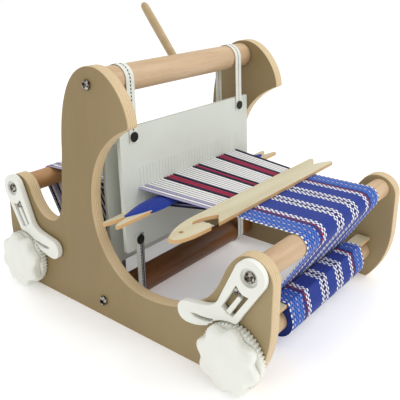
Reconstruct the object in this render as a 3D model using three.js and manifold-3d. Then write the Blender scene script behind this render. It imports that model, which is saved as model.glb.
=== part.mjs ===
// A small two-shaft table loom, in millimetres, +Z up, weaver's side towards -Y.
import * as THREE from "three";
import { mergeVertices } from "three/addons/utils/BufferGeometryUtils.js";
import Module from "manifold-3d";

const wasm = await Module();
wasm.setup();

// ---------- driving dimensions ----------
const INNER_WIDTH = 275; // between the side panels
const PLY = 15; // side panel thickness
const DEPTH = 400; // front to back, over the arms
const GAP = 0.3; // between touching pieces
const END_PLAY = 0.6; // at each end of a roller or beam
const EASE = 1; // rounded-over edges of wood

const HEAD_RADIUS = 24.5; // rounded head of each arm
const HEAD_HEIGHT = 119.5; // of that rounding's centre
const PANEL_TOP = 296.5;
const SILL = 50.3; // lowest point of the opening under the web

const BEAM_RADIUS = 12.5;
const BEAM_Y = DEPTH / 2 - 21;
const BEAM_Z = HEAD_HEIGHT + 7.5;

const ROLLER_RADIUS = 16; // top and lower rollers, which carry the straps
const TOP_ROLLER_Y = 37.6;
const TOP_ROLLER_Z = PANEL_TOP - 20.5;
const LOWER_ROLLER_Y = 24.5;
const LOWER_ROLLER_Z = 22;

const HANDLE_RADIUS = 5.2;
const HANDLE_LENGTH = 96; // from the roller's axis
const HANDLE_LEAN = 38.6; // degrees back from upright, the stored position

const RATCHET_RADIUS = 35;
const WIND_RADIUS = 12.5; // cloth and warp rollers
const WIND_Y = BEAM_Y - 17;
const WIND_Z = BEAM_Z - RATCHET_RADIUS - 56; // the pawl reaches from the beam to the ratchet's rim
const JOURNAL_RADIUS = 8;
const JOURNAL_CLEARANCE = 0.3;

const TOOTH_DEPTH = 2.4;
const TEETH = 48;
const RATCHET_WIDTH = 7.5;
const KNOB_RADIUS = RATCHET_RADIUS - 2; // mean radius of the lobed grip
const KNOB_LOBE = 2.6;
const LOBES = 8;
const KNOB_WIDTH = 15;
const PANEL_CLEARANCE = 1; // between a panel and what turns beside it

const PAWL_WIDTH = 7.5;
const PAWL_HEAD = 17;
const PAWL_CLEARANCE = 2.2; // between the pawl's hollow and the ratchet's tips
const PAWL_TONGUE = 4.6;
const TOOTH_ANGLE = 45; // round the ratchet from level, a whole number of its teeth
const PIN_RADIUS = 2.6;

const SCREW_RADIUS = 3;
const SCREW_HEAD_RADIUS = 5.8;
const SCREW_HEAD = 4;
const SCREW_LENGTH = 42;
const SCREW_CLEARANCE = 0.3;

const BOARD_WIDTH = INNER_WIDTH - 24;
const BOARD_HEIGHT = 148;
const BOARD_THICKNESS = 5;
const BOARD_CENTRE = BEAM_Z - LOWER_ROLLER_Z + 10.3; // above the lower roller, with the boards level
const STUD_INSET = 11.5; // from the board's top and bottom edges
const STUD_SPAN = BOARD_WIDTH - 42; // across the board
const STUD_RADIUS = 4.6;
const STUD_HEAD = 2;
const EYE_PITCH = 5.6;
const EYES = Math.floor((STUD_SPAN - 7) / EYE_PITCH);
const EYE_SIZE = 1.8;
const SLOT_HEIGHT = 48;

const STRAP_WIDTH = 12.5;
const STRAP_THICKNESS = 1.2;
const STRAP_TAIL = 7; // beyond each stud

const WARP_WIDTH = (EYES - 1) * EYE_PITCH + 2;
const WARP_THICKNESS = 0.8;
const CLOTH_WIDTH = WARP_WIDTH - 20; // the weft draws the web in
const CLOTH_CENTRE = 12; // the web has crept towards the right side
const FELL_Y = 97 - BEAM_Y; // last woven pick
const ROLL_RADIUS = 19.5; // wound cloth and wound warp

const SHUTTLE_LENGTH = INNER_WIDTH + 47;
const SHUTTLE_WIDTH = 31;
const SHUTTLE_THICKNESS = 4.6;
const REAR_SHUTTLE_LENGTH = INNER_WIDTH + 55;
const REAR_SHUTTLE_WIDTH = 24;
const NOTCH = 26; // depth of the rear shuttle's end notches
const YARN_THICKNESS = 2;
const SHUTTLE_TURN = 1.7; // degrees that the rear shuttle lies askew in the shed
const SHUTTLE_EASE = 0.7;
const BEAT_ROOM = 5.5; // between the wound shuttle and the straps' plane in front of the boards

const STICK_LENGTH = INNER_WIDTH - 5;
const STICK_WIDTH = 18;
const STICK_THICKNESS = 4;
const STICK_SUNK = 1.5; // into the wound cloth
const STICK_SHIFT = 3; // towards the weaver from over the roller's axis
const COVER = 1.2; // cloth wound over the stick, from the stick's faces out

const SEGMENTS = 32; // round a roller
const CURVE_STEPS = 9; // along each curved stretch of an outline

// ---------- places that follow from them ----------
const innerX = INNER_WIDTH / 2;
const outerX = innerX + PLY;
const rollerHalf = innerX - END_PLAY;
const rise = TOP_ROLLER_Z - LOWER_ROLLER_Z;
const lean = Math.atan2(TOP_ROLLER_Y - LOWER_ROLLER_Y, rise);
const rollerSpan = Math.hypot(TOP_ROLLER_Y - LOWER_ROLLER_Y, rise);
const strapInner = ROLLER_RADIUS + GAP;
const strapMid = strapInner + STRAP_THICKNESS / 2;
const shedLift = strapMid * THREE.MathUtils.degToRad(HANDLE_LEAN);
const ratchetInner = outerX + PANEL_CLEARANCE; // distance out from the middle plane
const knobOuter = ratchetInner + RATCHET_WIDTH + KNOB_WIDTH;
const screwOuter = outerX + GAP + SCREW_HEAD;

const materials = {
  ply: new THREE.MeshStandardMaterial({ color: 0xb9a173, roughness: 0.6, metalness: 0 }),
  beech: new THREE.MeshStandardMaterial({ color: 0xdeba91, roughness: 0.5, metalness: 0 }),
  darkWood: new THREE.MeshStandardMaterial({ color: 0x6e4123, roughness: 0.6, metalness: 0 }),
  birch: new THREE.MeshStandardMaterial({ color: 0xe1d4b4, roughness: 0.55, metalness: 0 }),
  plastic: new THREE.MeshStandardMaterial({ color: 0xebede4, roughness: 0.35, metalness: 0 }),
  board: new THREE.MeshStandardMaterial({ color: 0xdfe2dc, roughness: 0.4, metalness: 0 }),
  steel: new THREE.MeshStandardMaterial({ color: 0xb5b5b5, roughness: 0.3, metalness: 1 }),
  rivet: new THREE.MeshStandardMaterial({ color: 0x1b1b1e, roughness: 0.4, metalness: 0.3 }),
  strap: new THREE.MeshStandardMaterial({ color: 0xe8eade, roughness: 0.9, metalness: 0 }),
  warp: new THREE.MeshStandardMaterial({ color: 0xd9dcea, roughness: 0.9, metalness: 0 }),
  cloth: new THREE.MeshStandardMaterial({ color: 0x2d4ba5, roughness: 0.9, metalness: 0 }),
  yarn: new THREE.MeshStandardMaterial({ color: 0x1941b4, roughness: 0.9, metalness: 0 }),
};

const loom = new THREE.Group();
// The origin sits under the middle of the whole outline, so the knobs' overhang shifts the frame.
loom.position.x = (knobOuter - screwOuter) / 2;

// ---------- solids ----------
function solid(geometry) {
  const plain = new THREE.BufferGeometry().setAttribute("position", geometry.getAttribute("position"));
  if (geometry.index) plain.setIndex(geometry.index);
  const merged = mergeVertices(plain, 1e-4);
  return new wasm.Manifold(new wasm.Mesh({
    numProp: 3,
    vertProperties: new Float32Array(merged.attributes.position.array),
    triVerts: new Uint32Array(merged.index.array),
  }));
}

function geometryOf(body) {
  const mesh = body.getMesh();
  return new THREE.BufferGeometry()
    .setAttribute("position", new THREE.BufferAttribute(new Float32Array(mesh.vertProperties), 3))
    .setIndex(new THREE.BufferAttribute(new Uint32Array(mesh.triVerts), 1))
    .toNonIndexed();
}

function cut(body, ...tools) {
  return tools.reduce((left, tool) => left.subtract(tool), body);
}

function join(body, ...more) {
  return more.reduce((all, piece) => all.add(piece), body);
}

function add(name, body, material, parent = loom) {
  const geometry = geometryOf(body);
  geometry.computeVertexNormals();
  const mesh = new THREE.Mesh(geometry, materials[material].clone());
  mesh.name = name;
  parent.add(mesh);
  return mesh;
}

// An outline drawn in (y, z), swept along X from x0 to x1, with its rims eased by `ease`.
function alongX(outline, x0, x1, ease = 0) {
  const geometry = new THREE.ExtrudeGeometry(outline, {
    depth: x1 - x0 - 2 * ease,
    bevelEnabled: ease > 0,
    bevelThickness: ease,
    bevelSize: ease,
    bevelOffset: -ease,
    bevelSegments: 1,
    curveSegments: CURVE_STEPS,
  });
  geometry.translate(0, 0, x0 + ease);
  const turn = new THREE.Matrix4().makeBasis(
    new THREE.Vector3(0, 1, 0), new THREE.Vector3(0, 0, 1), new THREE.Vector3(1, 0, 0));
  return solid(geometry.applyMatrix4(turn));
}

// An outline drawn in (x, y), swept up Z from z0 to z1.
function alongZ(outline, z0, z1, ease = 0) {
  const geometry = new THREE.ExtrudeGeometry(outline, {
    depth: z1 - z0 - 2 * ease,
    bevelEnabled: ease > 0,
    bevelThickness: ease,
    bevelSize: ease,
    bevelOffset: -ease,
    bevelSegments: 1,
    curveSegments: CURVE_STEPS,
  });
  return solid(geometry.translate(0, 0, z0 + ease));
}

// A turned piece on the X axis: profile points are [x, radius], from one end to the other.
function turned(profile, y = 0, z = 0, segments = SEGMENTS) {
  const first = profile[0][0];
  const last = profile[profile.length - 1][0];
  const points = [[first, 0], ...profile, [last, 0]].map(([x, r]) => new THREE.Vector2(r, x));
  const geometry = new THREE.LatheGeometry(points, segments).rotateZ(-Math.PI / 2);
  return solid(geometry.translate(0, y, z));
}

function rod(x0, x1, radius, y = 0, z = 0, segments = SEGMENTS) {
  return turned([[x0, radius], [x1, radius]], y, z, segments);
}

function box(x0, x1, y0, y1, z0, z1) {
  const geometry = new THREE.BoxGeometry(x1 - x0, y1 - y0, z1 - z0);
  return solid(geometry.translate((x0 + x1) / 2, (y0 + y1) / 2, (z0 + z1) / 2));
}

function shapeOf(points) {
  return new THREE.Shape(points.map(([a, b]) => new THREE.Vector2(a, b)));
}

// A band of even thickness that follows a line of (y, z) points.
function band(points, thickness) {
  const line = points.map(([y, z]) => new THREE.Vector2(y, z));
  const side = line.map((p, i) => {
    const before = line[Math.max(i - 1, 0)];
    const after = line[Math.min(i + 1, line.length - 1)];
    const way = after.clone().sub(before).normalize();
    return new THREE.Vector2(-way.y, way.x).multiplyScalar(thickness / 2);
  });
  const left = line.map((p, i) => p.clone().add(side[i]));
  const right = line.map((p, i) => p.clone().sub(side[i])).reverse();
  const all = [...left, ...right];
  return new THREE.Shape(THREE.ShapeUtils.area(all) > 0 ? all : all.reverse());
}

function arc(y, z, radius, from, to, steps = CURVE_STEPS) {
  return Array.from({ length: steps + 1 }, (_, i) => {
    const a = THREE.MathUtils.degToRad(from + ((to - from) * i) / steps);
    return [y + radius * Math.cos(a), z + radius * Math.sin(a)];
  });
}

// ---------- side panels ----------
function panelOutline() {
  const edge = DEPTH / 2;
  const headY = edge - HEAD_RADIUS;
  const head = HEAD_HEIGHT;
  const top = PANEL_TOP;
  const wristBack = 2.72; // angles at which the arms' rounded heads turn into the openings
  const wristFront = 0.62;
  const s = new THREE.Shape();
  s.moveTo(28 - edge, 0);
  s.lineTo(edge - 28, 0);
  s.bezierCurveTo(edge - 13, 16, edge, 42, edge, head - 43.5);
  s.lineTo(edge, head);
  s.absarc(headY, head, HEAD_RADIUS, 0, wristBack, false);
  s.bezierCurveTo(edge - 54, head - 7.5, edge - 66, head - 21.5, edge - 82, head - 21.5);
  s.bezierCurveTo(edge - 99, head - 21.5, 94, head - 7.5, 92.5, head + 12.5);
  s.lineTo(87, top - 102.5);
  s.bezierCurveTo(86.5, top - 56.5, 76, top, 32, top);
  s.bezierCurveTo(6, top, -19, top - 32.5, -21.5, top - 56.5);
  s.quadraticCurveTo(-22, top - 60, -19, top - 61);
  s.bezierCurveTo(14, top - 75.5, 39, top - 104.5, 39, head + 23.5);
  s.bezierCurveTo(39, head - 27.5, 4, SILL, -42, SILL);
  s.bezierCurveTo(102 - edge, SILL, 70 - edge, head - 41.5, 57 - edge, head - 8.5);
  s.bezierCurveTo(52 - edge, head + 4.5, 49 - edge, head + 8.5,
    -headY + HEAD_RADIUS * Math.cos(wristFront), head + HEAD_RADIUS * Math.sin(wristFront));
  s.absarc(-headY, head, HEAD_RADIUS, wristFront, Math.PI, false);
  s.lineTo(-edge, head - 43.5);
  s.bezierCurveTo(-edge, 42, 13 - edge, 16, 28 - edge, 0);
  return s;
}

const screwHole = SCREW_RADIUS + SCREW_CLEARANCE;
const journalHole = JOURNAL_RADIUS + JOURNAL_CLEARANCE;
const axes = {
  frontBeam: [-BEAM_Y, BEAM_Z],
  backBeam: [BEAM_Y, BEAM_Z],
  topRoller: [TOP_ROLLER_Y, TOP_ROLLER_Z],
  lowerRoller: [LOWER_ROLLER_Y, LOWER_ROLLER_Z],
  clothRoller: [-WIND_Y, WIND_Z],
  warpRoller: [WIND_Y, WIND_Z],
};
// Pawl pins stand in the left panel, below and inboard of each beam.
const pinOffset = [14, -19];
const pinPlaces = { front: [-BEAM_Y + pinOffset[0], BEAM_Z + pinOffset[1]] };
pinPlaces.back = [-pinPlaces.front[0], pinPlaces.front[1]];

function sidePanel(side) {
  const x0 = side < 0 ? -outerX : innerX;
  const hole = ([y, z], radius) => rod(x0 - 1, x0 + PLY + 1, radius, y, z, 16);
  const holes = [axes.frontBeam, axes.backBeam, axes.topRoller, axes.lowerRoller]
    .map((place) => hole(place, screwHole));
  const windHole = side < 0 ? journalHole : screwHole;
  holes.push(hole(axes.clothRoller, windHole), hole(axes.warpRoller, windHole));
  if (side < 0) {
    const depth = PLY * 0.6;
    for (const [y, z] of Object.values(pinPlaces))
      holes.push(rod(-outerX - 1, -outerX + depth, PIN_RADIUS / 2 + GAP, y, z, 16));
  }
  return cut(alongX(panelOutline(), x0, x0 + PLY, EASE), ...holes);
}
add("left_side_panel", sidePanel(-1), "ply");
add("right_side_panel", sidePanel(1), "ply");

// ---------- beams, rollers and their screws ----------
const boreDepth = SCREW_LENGTH - PLY;

function dowel(radius, [y, z], boredLeft = true) {
  const eased = [
    [-rollerHalf, radius - EASE], [-rollerHalf + EASE, radius],
    [rollerHalf - EASE, radius], [rollerHalf, radius - EASE],
  ];
  const right = rod(rollerHalf - boreDepth, rollerHalf + 1, screwHole, y, z, 16);
  const left = rod(-rollerHalf - 1, -rollerHalf + boreDepth, screwHole, y, z, 16);
  return cut(turned(eased, y, z), right, ...(boredLeft ? [left] : []));
}

// side -1 enters from the left; `head` is how far out from the middle plane its head sits.
function screw(side, [y, z], head = outerX + GAP) {
  const tip = innerX - boreDepth + 2;
  const profile = [
    [tip, SCREW_RADIUS * 0.6], [tip + 2, SCREW_RADIUS], [head, SCREW_RADIUS],
    [head, SCREW_HEAD_RADIUS], [head + SCREW_HEAD * 0.5, SCREW_HEAD_RADIUS],
    [head + SCREW_HEAD * 0.85, SCREW_HEAD_RADIUS * 0.85], [head + SCREW_HEAD, SCREW_HEAD_RADIUS * 0.6],
  ];
  const placed = side > 0 ? profile : profile.map(([x, r]) => [-x, r]).reverse();
  const socket = new THREE.CylinderGeometry(SCREW_RADIUS * 0.8, SCREW_RADIUS * 0.8, SCREW_HEAD * 1.2, 6)
    .rotateZ(Math.PI / 2)
    .translate(side * (head + SCREW_HEAD), y, z);
  return cut(turned(placed, y, z, 12), solid(socket));
}

const pawlFace = ratchetInner + PAWL_WIDTH;
const pawlRecess = 3;
const pawlScrewSeat = pawlFace - pawlRecess + GAP;

add("front_beam", dowel(BEAM_RADIUS, axes.frontBeam), "beech");
add("back_beam", dowel(BEAM_RADIUS, axes.backBeam), "beech");
add("left_front_beam_screw", screw(-1, axes.frontBeam, pawlScrewSeat), "steel");
add("right_front_beam_screw", screw(1, axes.frontBeam), "steel");
add("left_back_beam_screw", screw(-1, axes.backBeam, pawlScrewSeat), "steel");
add("right_back_beam_screw", screw(1, axes.backBeam), "steel");

// The handle plugs into a blind bore across the top roller.
const handleDirection = THREE.MathUtils.degToRad(HANDLE_LEAN);
const handleSeat = 3;

function handleRod(from, to, radius, tip = 0) {
  const profile = [[from, radius], [to - tip, radius]];
  if (tip) profile.push([to - tip * 0.4, radius * 0.85], [to, radius * 0.45]);
  const points = [[from, 0], ...profile, [to, 0]].map(([h, r]) => new THREE.Vector2(r, h));
  const geometry = new THREE.LatheGeometry(points, 24)
    .rotateX(Math.PI / 2 - handleDirection)
    .translate(0, TOP_ROLLER_Y, TOP_ROLLER_Z);
  return solid(geometry);
}
const handleBore = handleRod(-handleSeat, ROLLER_RADIUS + 4, HANDLE_RADIUS + GAP);
add("top_roller", cut(dowel(ROLLER_RADIUS, axes.topRoller), handleBore), "beech");
add("handle_stick", handleRod(-handleSeat + GAP, HANDLE_LENGTH, HANDLE_RADIUS, 3), "beech");
add("lower_roller", dowel(ROLLER_RADIUS, axes.lowerRoller), "darkWood");
for (const [label, side] of [["left", -1], ["right", 1]]) {
  add(label + "_top_roller_screw", screw(side, axes.topRoller), "steel");
  add(label + "_lower_roller_screw", screw(side, axes.lowerRoller), "steel");
}

// ---------- cloth and warp rollers with their ratchet knobs ----------
const journalEnd = knobOuter - 5;

function windRoller(place) {
  const journal = turned([
    [-journalEnd, JOURNAL_RADIUS - EASE], [-journalEnd + EASE, JOURNAL_RADIUS],
    [-rollerHalf + EASE, JOURNAL_RADIUS],
  ], ...place);
  return join(dowel(WIND_RADIUS, place, false), journal);
}

function ratchetOutline() {
  const root = RATCHET_RADIUS - TOOTH_DEPTH;
  const points = [];
  for (let i = 0; i < TEETH; i++) {
    const middle = ((i + 0.5) * 2 * Math.PI) / TEETH + Math.PI / 2;
    const quarter = Math.PI / TEETH / 2;
    for (const [offset, radius] of [[-quarter * 2, root], [-quarter * 0.5, RATCHET_RADIUS],
      [quarter * 0.5, RATCHET_RADIUS]]) {
      points.push([radius * Math.cos(middle + offset), radius * Math.sin(middle + offset)]);
    }
  }
  return shapeOf(points);
}

function knobOutline(radius, turn) {
  const steps = LOBES * 6;
  return shapeOf(Array.from({ length: steps }, (_, i) => {
    const a = (2 * Math.PI * i) / steps;
    const wave = Math.cos(LOBES * a);
    const r = radius + KNOB_LOBE * (wave > 0 ? wave : wave * 1.25);
    return [r * Math.cos(a + turn), r * Math.sin(a + turn)];
  }));
}

// Domed, lobed grip moulded in one with its ratchet wheel; a blind bore takes the roller's journal.
function ratchetKnob([y, z], turn) {
  const wheelInner = -ratchetInner;
  const wheelOuter = wheelInner - RATCHET_WIDTH;
  const wheel = alongX(ratchetOutline(), wheelOuter - 0.5, wheelInner);
  const grip = alongX(knobOutline(KNOB_RADIUS, turn), -knobOuter, wheelOuter, 0);
  const domeRadius = 95;
  const dome = new THREE.SphereGeometry(domeRadius, 24, 16).rotateZ(Math.PI / 2)
    .translate(-knobOuter + domeRadius, 0, 0);
  const rounded = grip.intersect(solid(dome));
  const bore = rod(-journalEnd - GAP, wheelInner + 1, JOURNAL_RADIUS + GAP, 0, 0, 32);
  return cut(join(rounded, wheel), bore).translate([0, y, z]);
}

for (const [label, place, turn] of [["cloth", axes.clothRoller, 0.2], ["warp", axes.warpRoller, 0.5]]) {
  add(label + "_roller", windRoller(place), "beech");
  add(label + "_knob", ratchetKnob(place, turn), "plastic");
  add(label + "_roller_screw", screw(1, place), "steel");
}

// ---------- pawls ----------
// Drawn for the front one, in (y, z) from its pivot; the back one mirrors it front to back.
const ratchetAt = [BEAM_Y - WIND_Y, WIND_Z - BEAM_Z];

const pawlHollow = RATCHET_RADIUS + PAWL_CLEARANCE;

function pawlOutline() {
  const [toothY, ratchetZ] = ratchetAt;
  const headEnd = THREE.MathUtils.degToRad(25);
  const s = new THREE.Shape();
  s.absarc(0, 0, PAWL_HEAD, headEnd, THREE.MathUtils.degToRad(206), false);
  s.lineTo(9, -47);
  s.quadraticCurveTo(10.5, -52, toothY - 3.2, ratchetZ + pawlHollow - 0.1);
  s.absarc(toothY, ratchetZ, pawlHollow, THREE.MathUtils.degToRad(90), THREE.MathUtils.degToRad(37), true);
  s.bezierCurveTo(54, -72, 62, -75, 72, -75);
  s.bezierCurveTo(80, -75, 84.5, -70, 84.5, -63);
  s.bezierCurveTo(84.5, -55, 78, -51, 70, -50.5);
  s.lineTo(56, -48);
  s.bezierCurveTo(44, -46, 37, -43, 33, -32);
  s.closePath();
  return s;
}

// The tooth that drops into the ratchet, where lifting the lever draws it straight out.
function pawlTooth() {
  const [axisY, axisZ] = ratchetAt;
  const a = THREE.MathUtils.degToRad(TOOTH_ANGLE);
  const at = (radius, across) => [axisY + radius * Math.cos(a) + across * Math.sin(a),
    axisZ + radius * Math.sin(a) - across * Math.cos(a)];
  const tip = RATCHET_RADIUS - TOOTH_DEPTH * 0.55;
  const flank = RATCHET_RADIUS + 0.2;
  const root = pawlHollow + 2;
  return shapeOf([at(root, -3.4), at(flank, -1.1), at(tip, -0.2),
    at(tip, 0.2), at(flank, 1.1), at(root, 3.4)]);
}

// Along the pawl's stem: u runs from the pivot to the thumb lever's root, n across it.
const stem = [0.525, -0.851];
const stemPoint = (u, n) => [stem[0] * u - stem[1] * n, stem[1] * u + stem[0] * n];
const windowEnd = 46;
const windowStart = 21.5;

function pawlWindow() {
  return shapeOf([
    stemPoint(windowStart - 3.5, 5.3), stemPoint(windowStart - 1.5, -1), stemPoint(windowStart - 1, -5),
    stemPoint(windowStart - 4, -11), stemPoint(windowEnd - 1, -10.5),
    stemPoint(windowEnd + 1.5, -4), stemPoint(windowEnd, 4),
  ].reverse());
}

function tongueOutline() {
  const half = PAWL_TONGUE / 2;
  const middle = -4.3;
  return shapeOf([
    stemPoint(windowStart + 5, middle + half), stemPoint(windowEnd - GAP * 2, middle + half),
    stemPoint(windowEnd - GAP * 2, middle - half), stemPoint(windowStart + 5, middle - half),
    stemPoint(windowStart + 4, middle),
  ].reverse());
}

function pawl(mirror, place) {
  const face = -pawlFace;
  const inner = -ratchetInner;
  const plate = join(alongX(pawlOutline(), face, inner, 0.8), alongX(pawlTooth(), face + 0.8, inner - 0.8));
  const recess = rod(face - 1, face + pawlRecess, SCREW_HEAD_RADIUS + 3.4, 0, 0, 32);
  const pivot = rod(face - 1, inner + 1, screwHole, 0, 0, 24);
  const window = alongX(pawlWindow(), face - 1, inner + 1);
  const slot = alongX(shapeOf([[50, -61.5], [58, -63.2], [66, -65], [72.5, -63.4], [66, -61.2],
    [58, -60.6], [52, -59]]), face - 1, inner + 1);
  const body = cut(plate, recess, pivot, window, slot);
  return (mirror ? body.mirror([0, 1, 0]) : body).translate([0, ...place]);
}

function pawlSpring(mirror, place) {
  const body = alongX(tongueOutline(), -pawlFace + 1.5, -ratchetInner - 0.5);
  return (mirror ? body.mirror([0, 1, 0]) : body).translate([0, ...place]);
}

function pawlPin([y, z]) {
  return turned([
    [-pawlFace + 1, PIN_RADIUS * 0.6], [-pawlFace + 1.8, PIN_RADIUS], [-outerX - GAP, PIN_RADIUS],
    [-outerX - GAP, PIN_RADIUS / 2], [-outerX + PLY * 0.5, PIN_RADIUS / 2],
  ], y, z, 10);
}

for (const [label, mirror] of [["front", false], ["back", true]]) {
  const place = axes[label + "Beam"];
  add(label + "_pawl", pawl(mirror, place), "plastic");
  add(label + "_pawl_spring", pawlSpring(mirror, place), "plastic");
  add(label + "_pawl_pin", pawlPin(pinPlaces[label]), "steel");
}

// ---------- heddle boards, in the plane of the straps ----------
// The group's own z runs up from the lower roller's axis to the top roller's, y is the plane's normal.
const harness = new THREE.Group();
harness.position.set(0, LOWER_ROLLER_Y, LOWER_ROLLER_Z);
harness.rotation.x = -lean;
loom.add(harness);

const boards = {
  front: { side: -1, centre: BOARD_CENTRE + shedLift },
  back: { side: 1, centre: BOARD_CENTRE - shedLift },
};

function boardFaces(side) {
  const outer = side * ROLLER_RADIUS;
  const inner = outer - side * BOARD_THICKNESS;
  return [Math.min(outer, inner), Math.max(outer, inner)];
}

function heddleBoard({ side, centre }, eyePhase) {
  const [y0, y1] = boardFaces(side);
  const half = BOARD_WIDTH / 2;
  const plate = box(-half, half, y0, y1, centre - BOARD_HEIGHT / 2, centre + BOARD_HEIGHT / 2);
  const cuts = [];
  for (let i = 0; i < EYES; i++) {
    const x = (i - (EYES - 1) / 2) * EYE_PITCH + eyePhase;
    const slotX = x - 2 * eyePhase;
    const e = EYE_SIZE / 2;
    cuts.push(box(x - e, x + e, y0 - 1, y1 + 1, centre - e, centre + e));
    cuts.push(box(slotX - e / 2, slotX + e / 2, y0 - 1, y1 + 1,
      centre - SLOT_HEIGHT / 2, centre + SLOT_HEIGHT / 2));
  }
  const studs = studPlaces(centre).map(([x, z]) =>
    rod(y0 - 1, y1 + 1, STUD_RADIUS * 0.4 + GAP, 0, 0, 8).rotate([0, 0, 90]).translate([x, 0, z]));
  return cut(plate, ...cuts, ...studs);
}

function studPlaces(centre) {
  const up = BOARD_HEIGHT / 2 - STUD_INSET;
  return [[-STUD_SPAN / 2, centre + up], [STUD_SPAN / 2, centre + up],
    [-STUD_SPAN / 2, centre - up], [STUD_SPAN / 2, centre - up]];
}

// Each strap hangs from one board's stud, round a roller, to the other board's stud.
const strapStud = STUD_RADIUS * 0.4 + GAP;
const studNames = ["upper_left", "upper_right", "lower_left", "lower_right"];

function stud(side, x, z) {
  const strapFace = side * (strapInner + STRAP_THICKNESS + GAP);
  const backFace = side * (ROLLER_RADIUS - BOARD_THICKNESS - GAP);
  const neck = STUD_RADIUS * 0.4;
  const profile = [
    [backFace - side * 1.2, STUD_RADIUS * 0.8], [backFace, STUD_RADIUS * 0.8], [backFace, neck],
    [strapFace, neck], [strapFace, STUD_RADIUS], [strapFace + side * STUD_HEAD * 0.5, STUD_RADIUS * 0.95],
    [strapFace + side * STUD_HEAD, STUD_RADIUS * 0.55],
  ];
  return turned(side > 0 ? profile : profile.reverse(), 0, 0, 8).rotate([0, 0, 90]).translate([x, 0, z]);
}

for (const [label, board] of Object.entries(boards)) {
  add(label + "_heddle_board", heddleBoard(board, (board.side * EYE_PITCH) / 4), "board", harness);
  studPlaces(board.centre).forEach(([x, z], i) =>
    add(`${label}_${studNames[i]}_rivet`, stud(board.side, x, z), "rivet", harness));
}

function strap(x, rollerAt, ends, overTop) {
  const r = strapMid;
  const turnPoints = overTop ? arc(0, rollerAt, r, 180, 0) : arc(0, rollerAt, r, -180, 0);
  const tail = overTop ? -STRAP_TAIL : STRAP_TAIL;
  const points = [[-r, ends[0] + tail], ...turnPoints, [r, ends[1] + tail]];
  const body = alongX(band(points, STRAP_THICKNESS), x - STRAP_WIDTH / 2, x + STRAP_WIDTH / 2);
  const holes = ends.map((z, i) => rod(-3, 3, strapStud, 0, 0, 8).rotate([0, 0, 90])
    .translate([x, i ? r : -r, z]));
  return cut(body, ...holes);
}

const studUp = BOARD_HEIGHT / 2 - STUD_INSET;
for (const [label, x] of [["left", -STUD_SPAN / 2], ["right", STUD_SPAN / 2]]) {
  const upper = [boards.front.centre + studUp, boards.back.centre + studUp];
  const lower = [boards.front.centre - studUp, boards.back.centre - studUp];
  add(`upper_${label}_strap`, strap(x, rollerSpan, upper, true), "strap", harness);
  add(`lower_${label}_strap`, strap(x, 0, lower, false), "strap", harness);
}

// ---------- warp and cloth ----------
// A point of the harness plane, as (y, z) in the loom's frame.
function harnessPoint(normal, up) {
  return [LOWER_ROLLER_Y + normal * Math.cos(lean) + up * Math.sin(lean),
    LOWER_ROLLER_Z - normal * Math.sin(lean) + up * Math.cos(lean)];
}
const beamWrap = BEAM_RADIUS + GAP + WARP_THICKNESS / 2;
const fell = [FELL_Y, BEAM_Z + beamWrap - 1.5];
const raised = boards.front.centre;
const lowered = boards.back.centre;
const warpX = [-WARP_WIDTH / 2, WARP_WIDTH / 2];
const clothX = [CLOTH_CENTRE - CLOTH_WIDTH / 2, CLOTH_CENTRE + CLOTH_WIDTH / 2];
const faceGap = GAP + 0.1;

// The way over the front beam from the angle `from`, round its outer side, and across to the
// inner side of the roll below: the crossed tangent of the two circles.
function overBeam(from) {
  const rollWrap = ROLL_RADIUS + GAP + WARP_THICKNESS / 2;
  const apart = Math.hypot(BEAM_Y - WIND_Y, BEAM_Z - WIND_Z);
  const centres = Math.atan2(WIND_Z - BEAM_Z, BEAM_Y - WIND_Y);
  const cross = Math.asin((beamWrap + rollWrap) / apart);
  const leave = THREE.MathUtils.radToDeg(centres + cross) + 270;
  return [...arc(-BEAM_Y, BEAM_Z, beamWrap, from, leave),
    ...arc(-WIND_Y, WIND_Z, rollWrap, leave - 180, leave - 200, 3)];
}

// A sheet of threads between two edges of different widths.
function warpSheet(from, to, xFrom, xTo) {
  const halfThick = WARP_THICKNESS / 2;
  const corners = [];
  for (const [[y, z], xs] of [[from, xFrom], [to, xTo]])
    for (const x of xs) for (const up of [-halfThick, halfThick]) corners.push([x, y, z + up]);
  const faces = [[0, 2, 3], [0, 3, 1], [4, 5, 7], [4, 7, 6], [0, 1, 5], [0, 5, 4],
    [2, 6, 7], [2, 7, 3], [1, 3, 7], [1, 7, 5], [0, 4, 6], [0, 6, 2]];
  const made = new THREE.BufferGeometry()
    .setAttribute("position", new THREE.Float32BufferAttribute(faces.flat().flatMap((i) => corners[i]), 3));
  return solid(made);
}

const frontOuter = -ROLLER_RADIUS - faceGap;
const frontInner = -ROLLER_RADIUS + BOARD_THICKNESS + faceGap;
const backInner = ROLLER_RADIUS - BOARD_THICKNESS - faceGap;
const backOuter = ROLLER_RADIUS + faceGap;
const beamTop = [BEAM_Y - 1, BEAM_Z + beamWrap];

// Height of a straight thread between two points, at harness normal n.
function threadAt(near, far, normal) {
  const t = (normal - near[0]) / (far[0] - near[0]);
  return near[1] + (far[1] - near[1]) * t;
}
function inHarness([y, z]) {
  const dy = y - LOWER_ROLLER_Y;
  const dz = z - LOWER_ROLLER_Z;
  return [dy * Math.cos(lean) - dz * Math.sin(lean), dy * Math.sin(lean) + dz * Math.cos(lean)];
}
const eyeFront = [-ROLLER_RADIUS + BOARD_THICKNESS / 2, raised];
const eyeBack = [ROLLER_RADIUS - BOARD_THICKNESS / 2, lowered];
const fellLocal = inHarness(fell);
const beamLocal = inHarness(beamTop);

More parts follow.
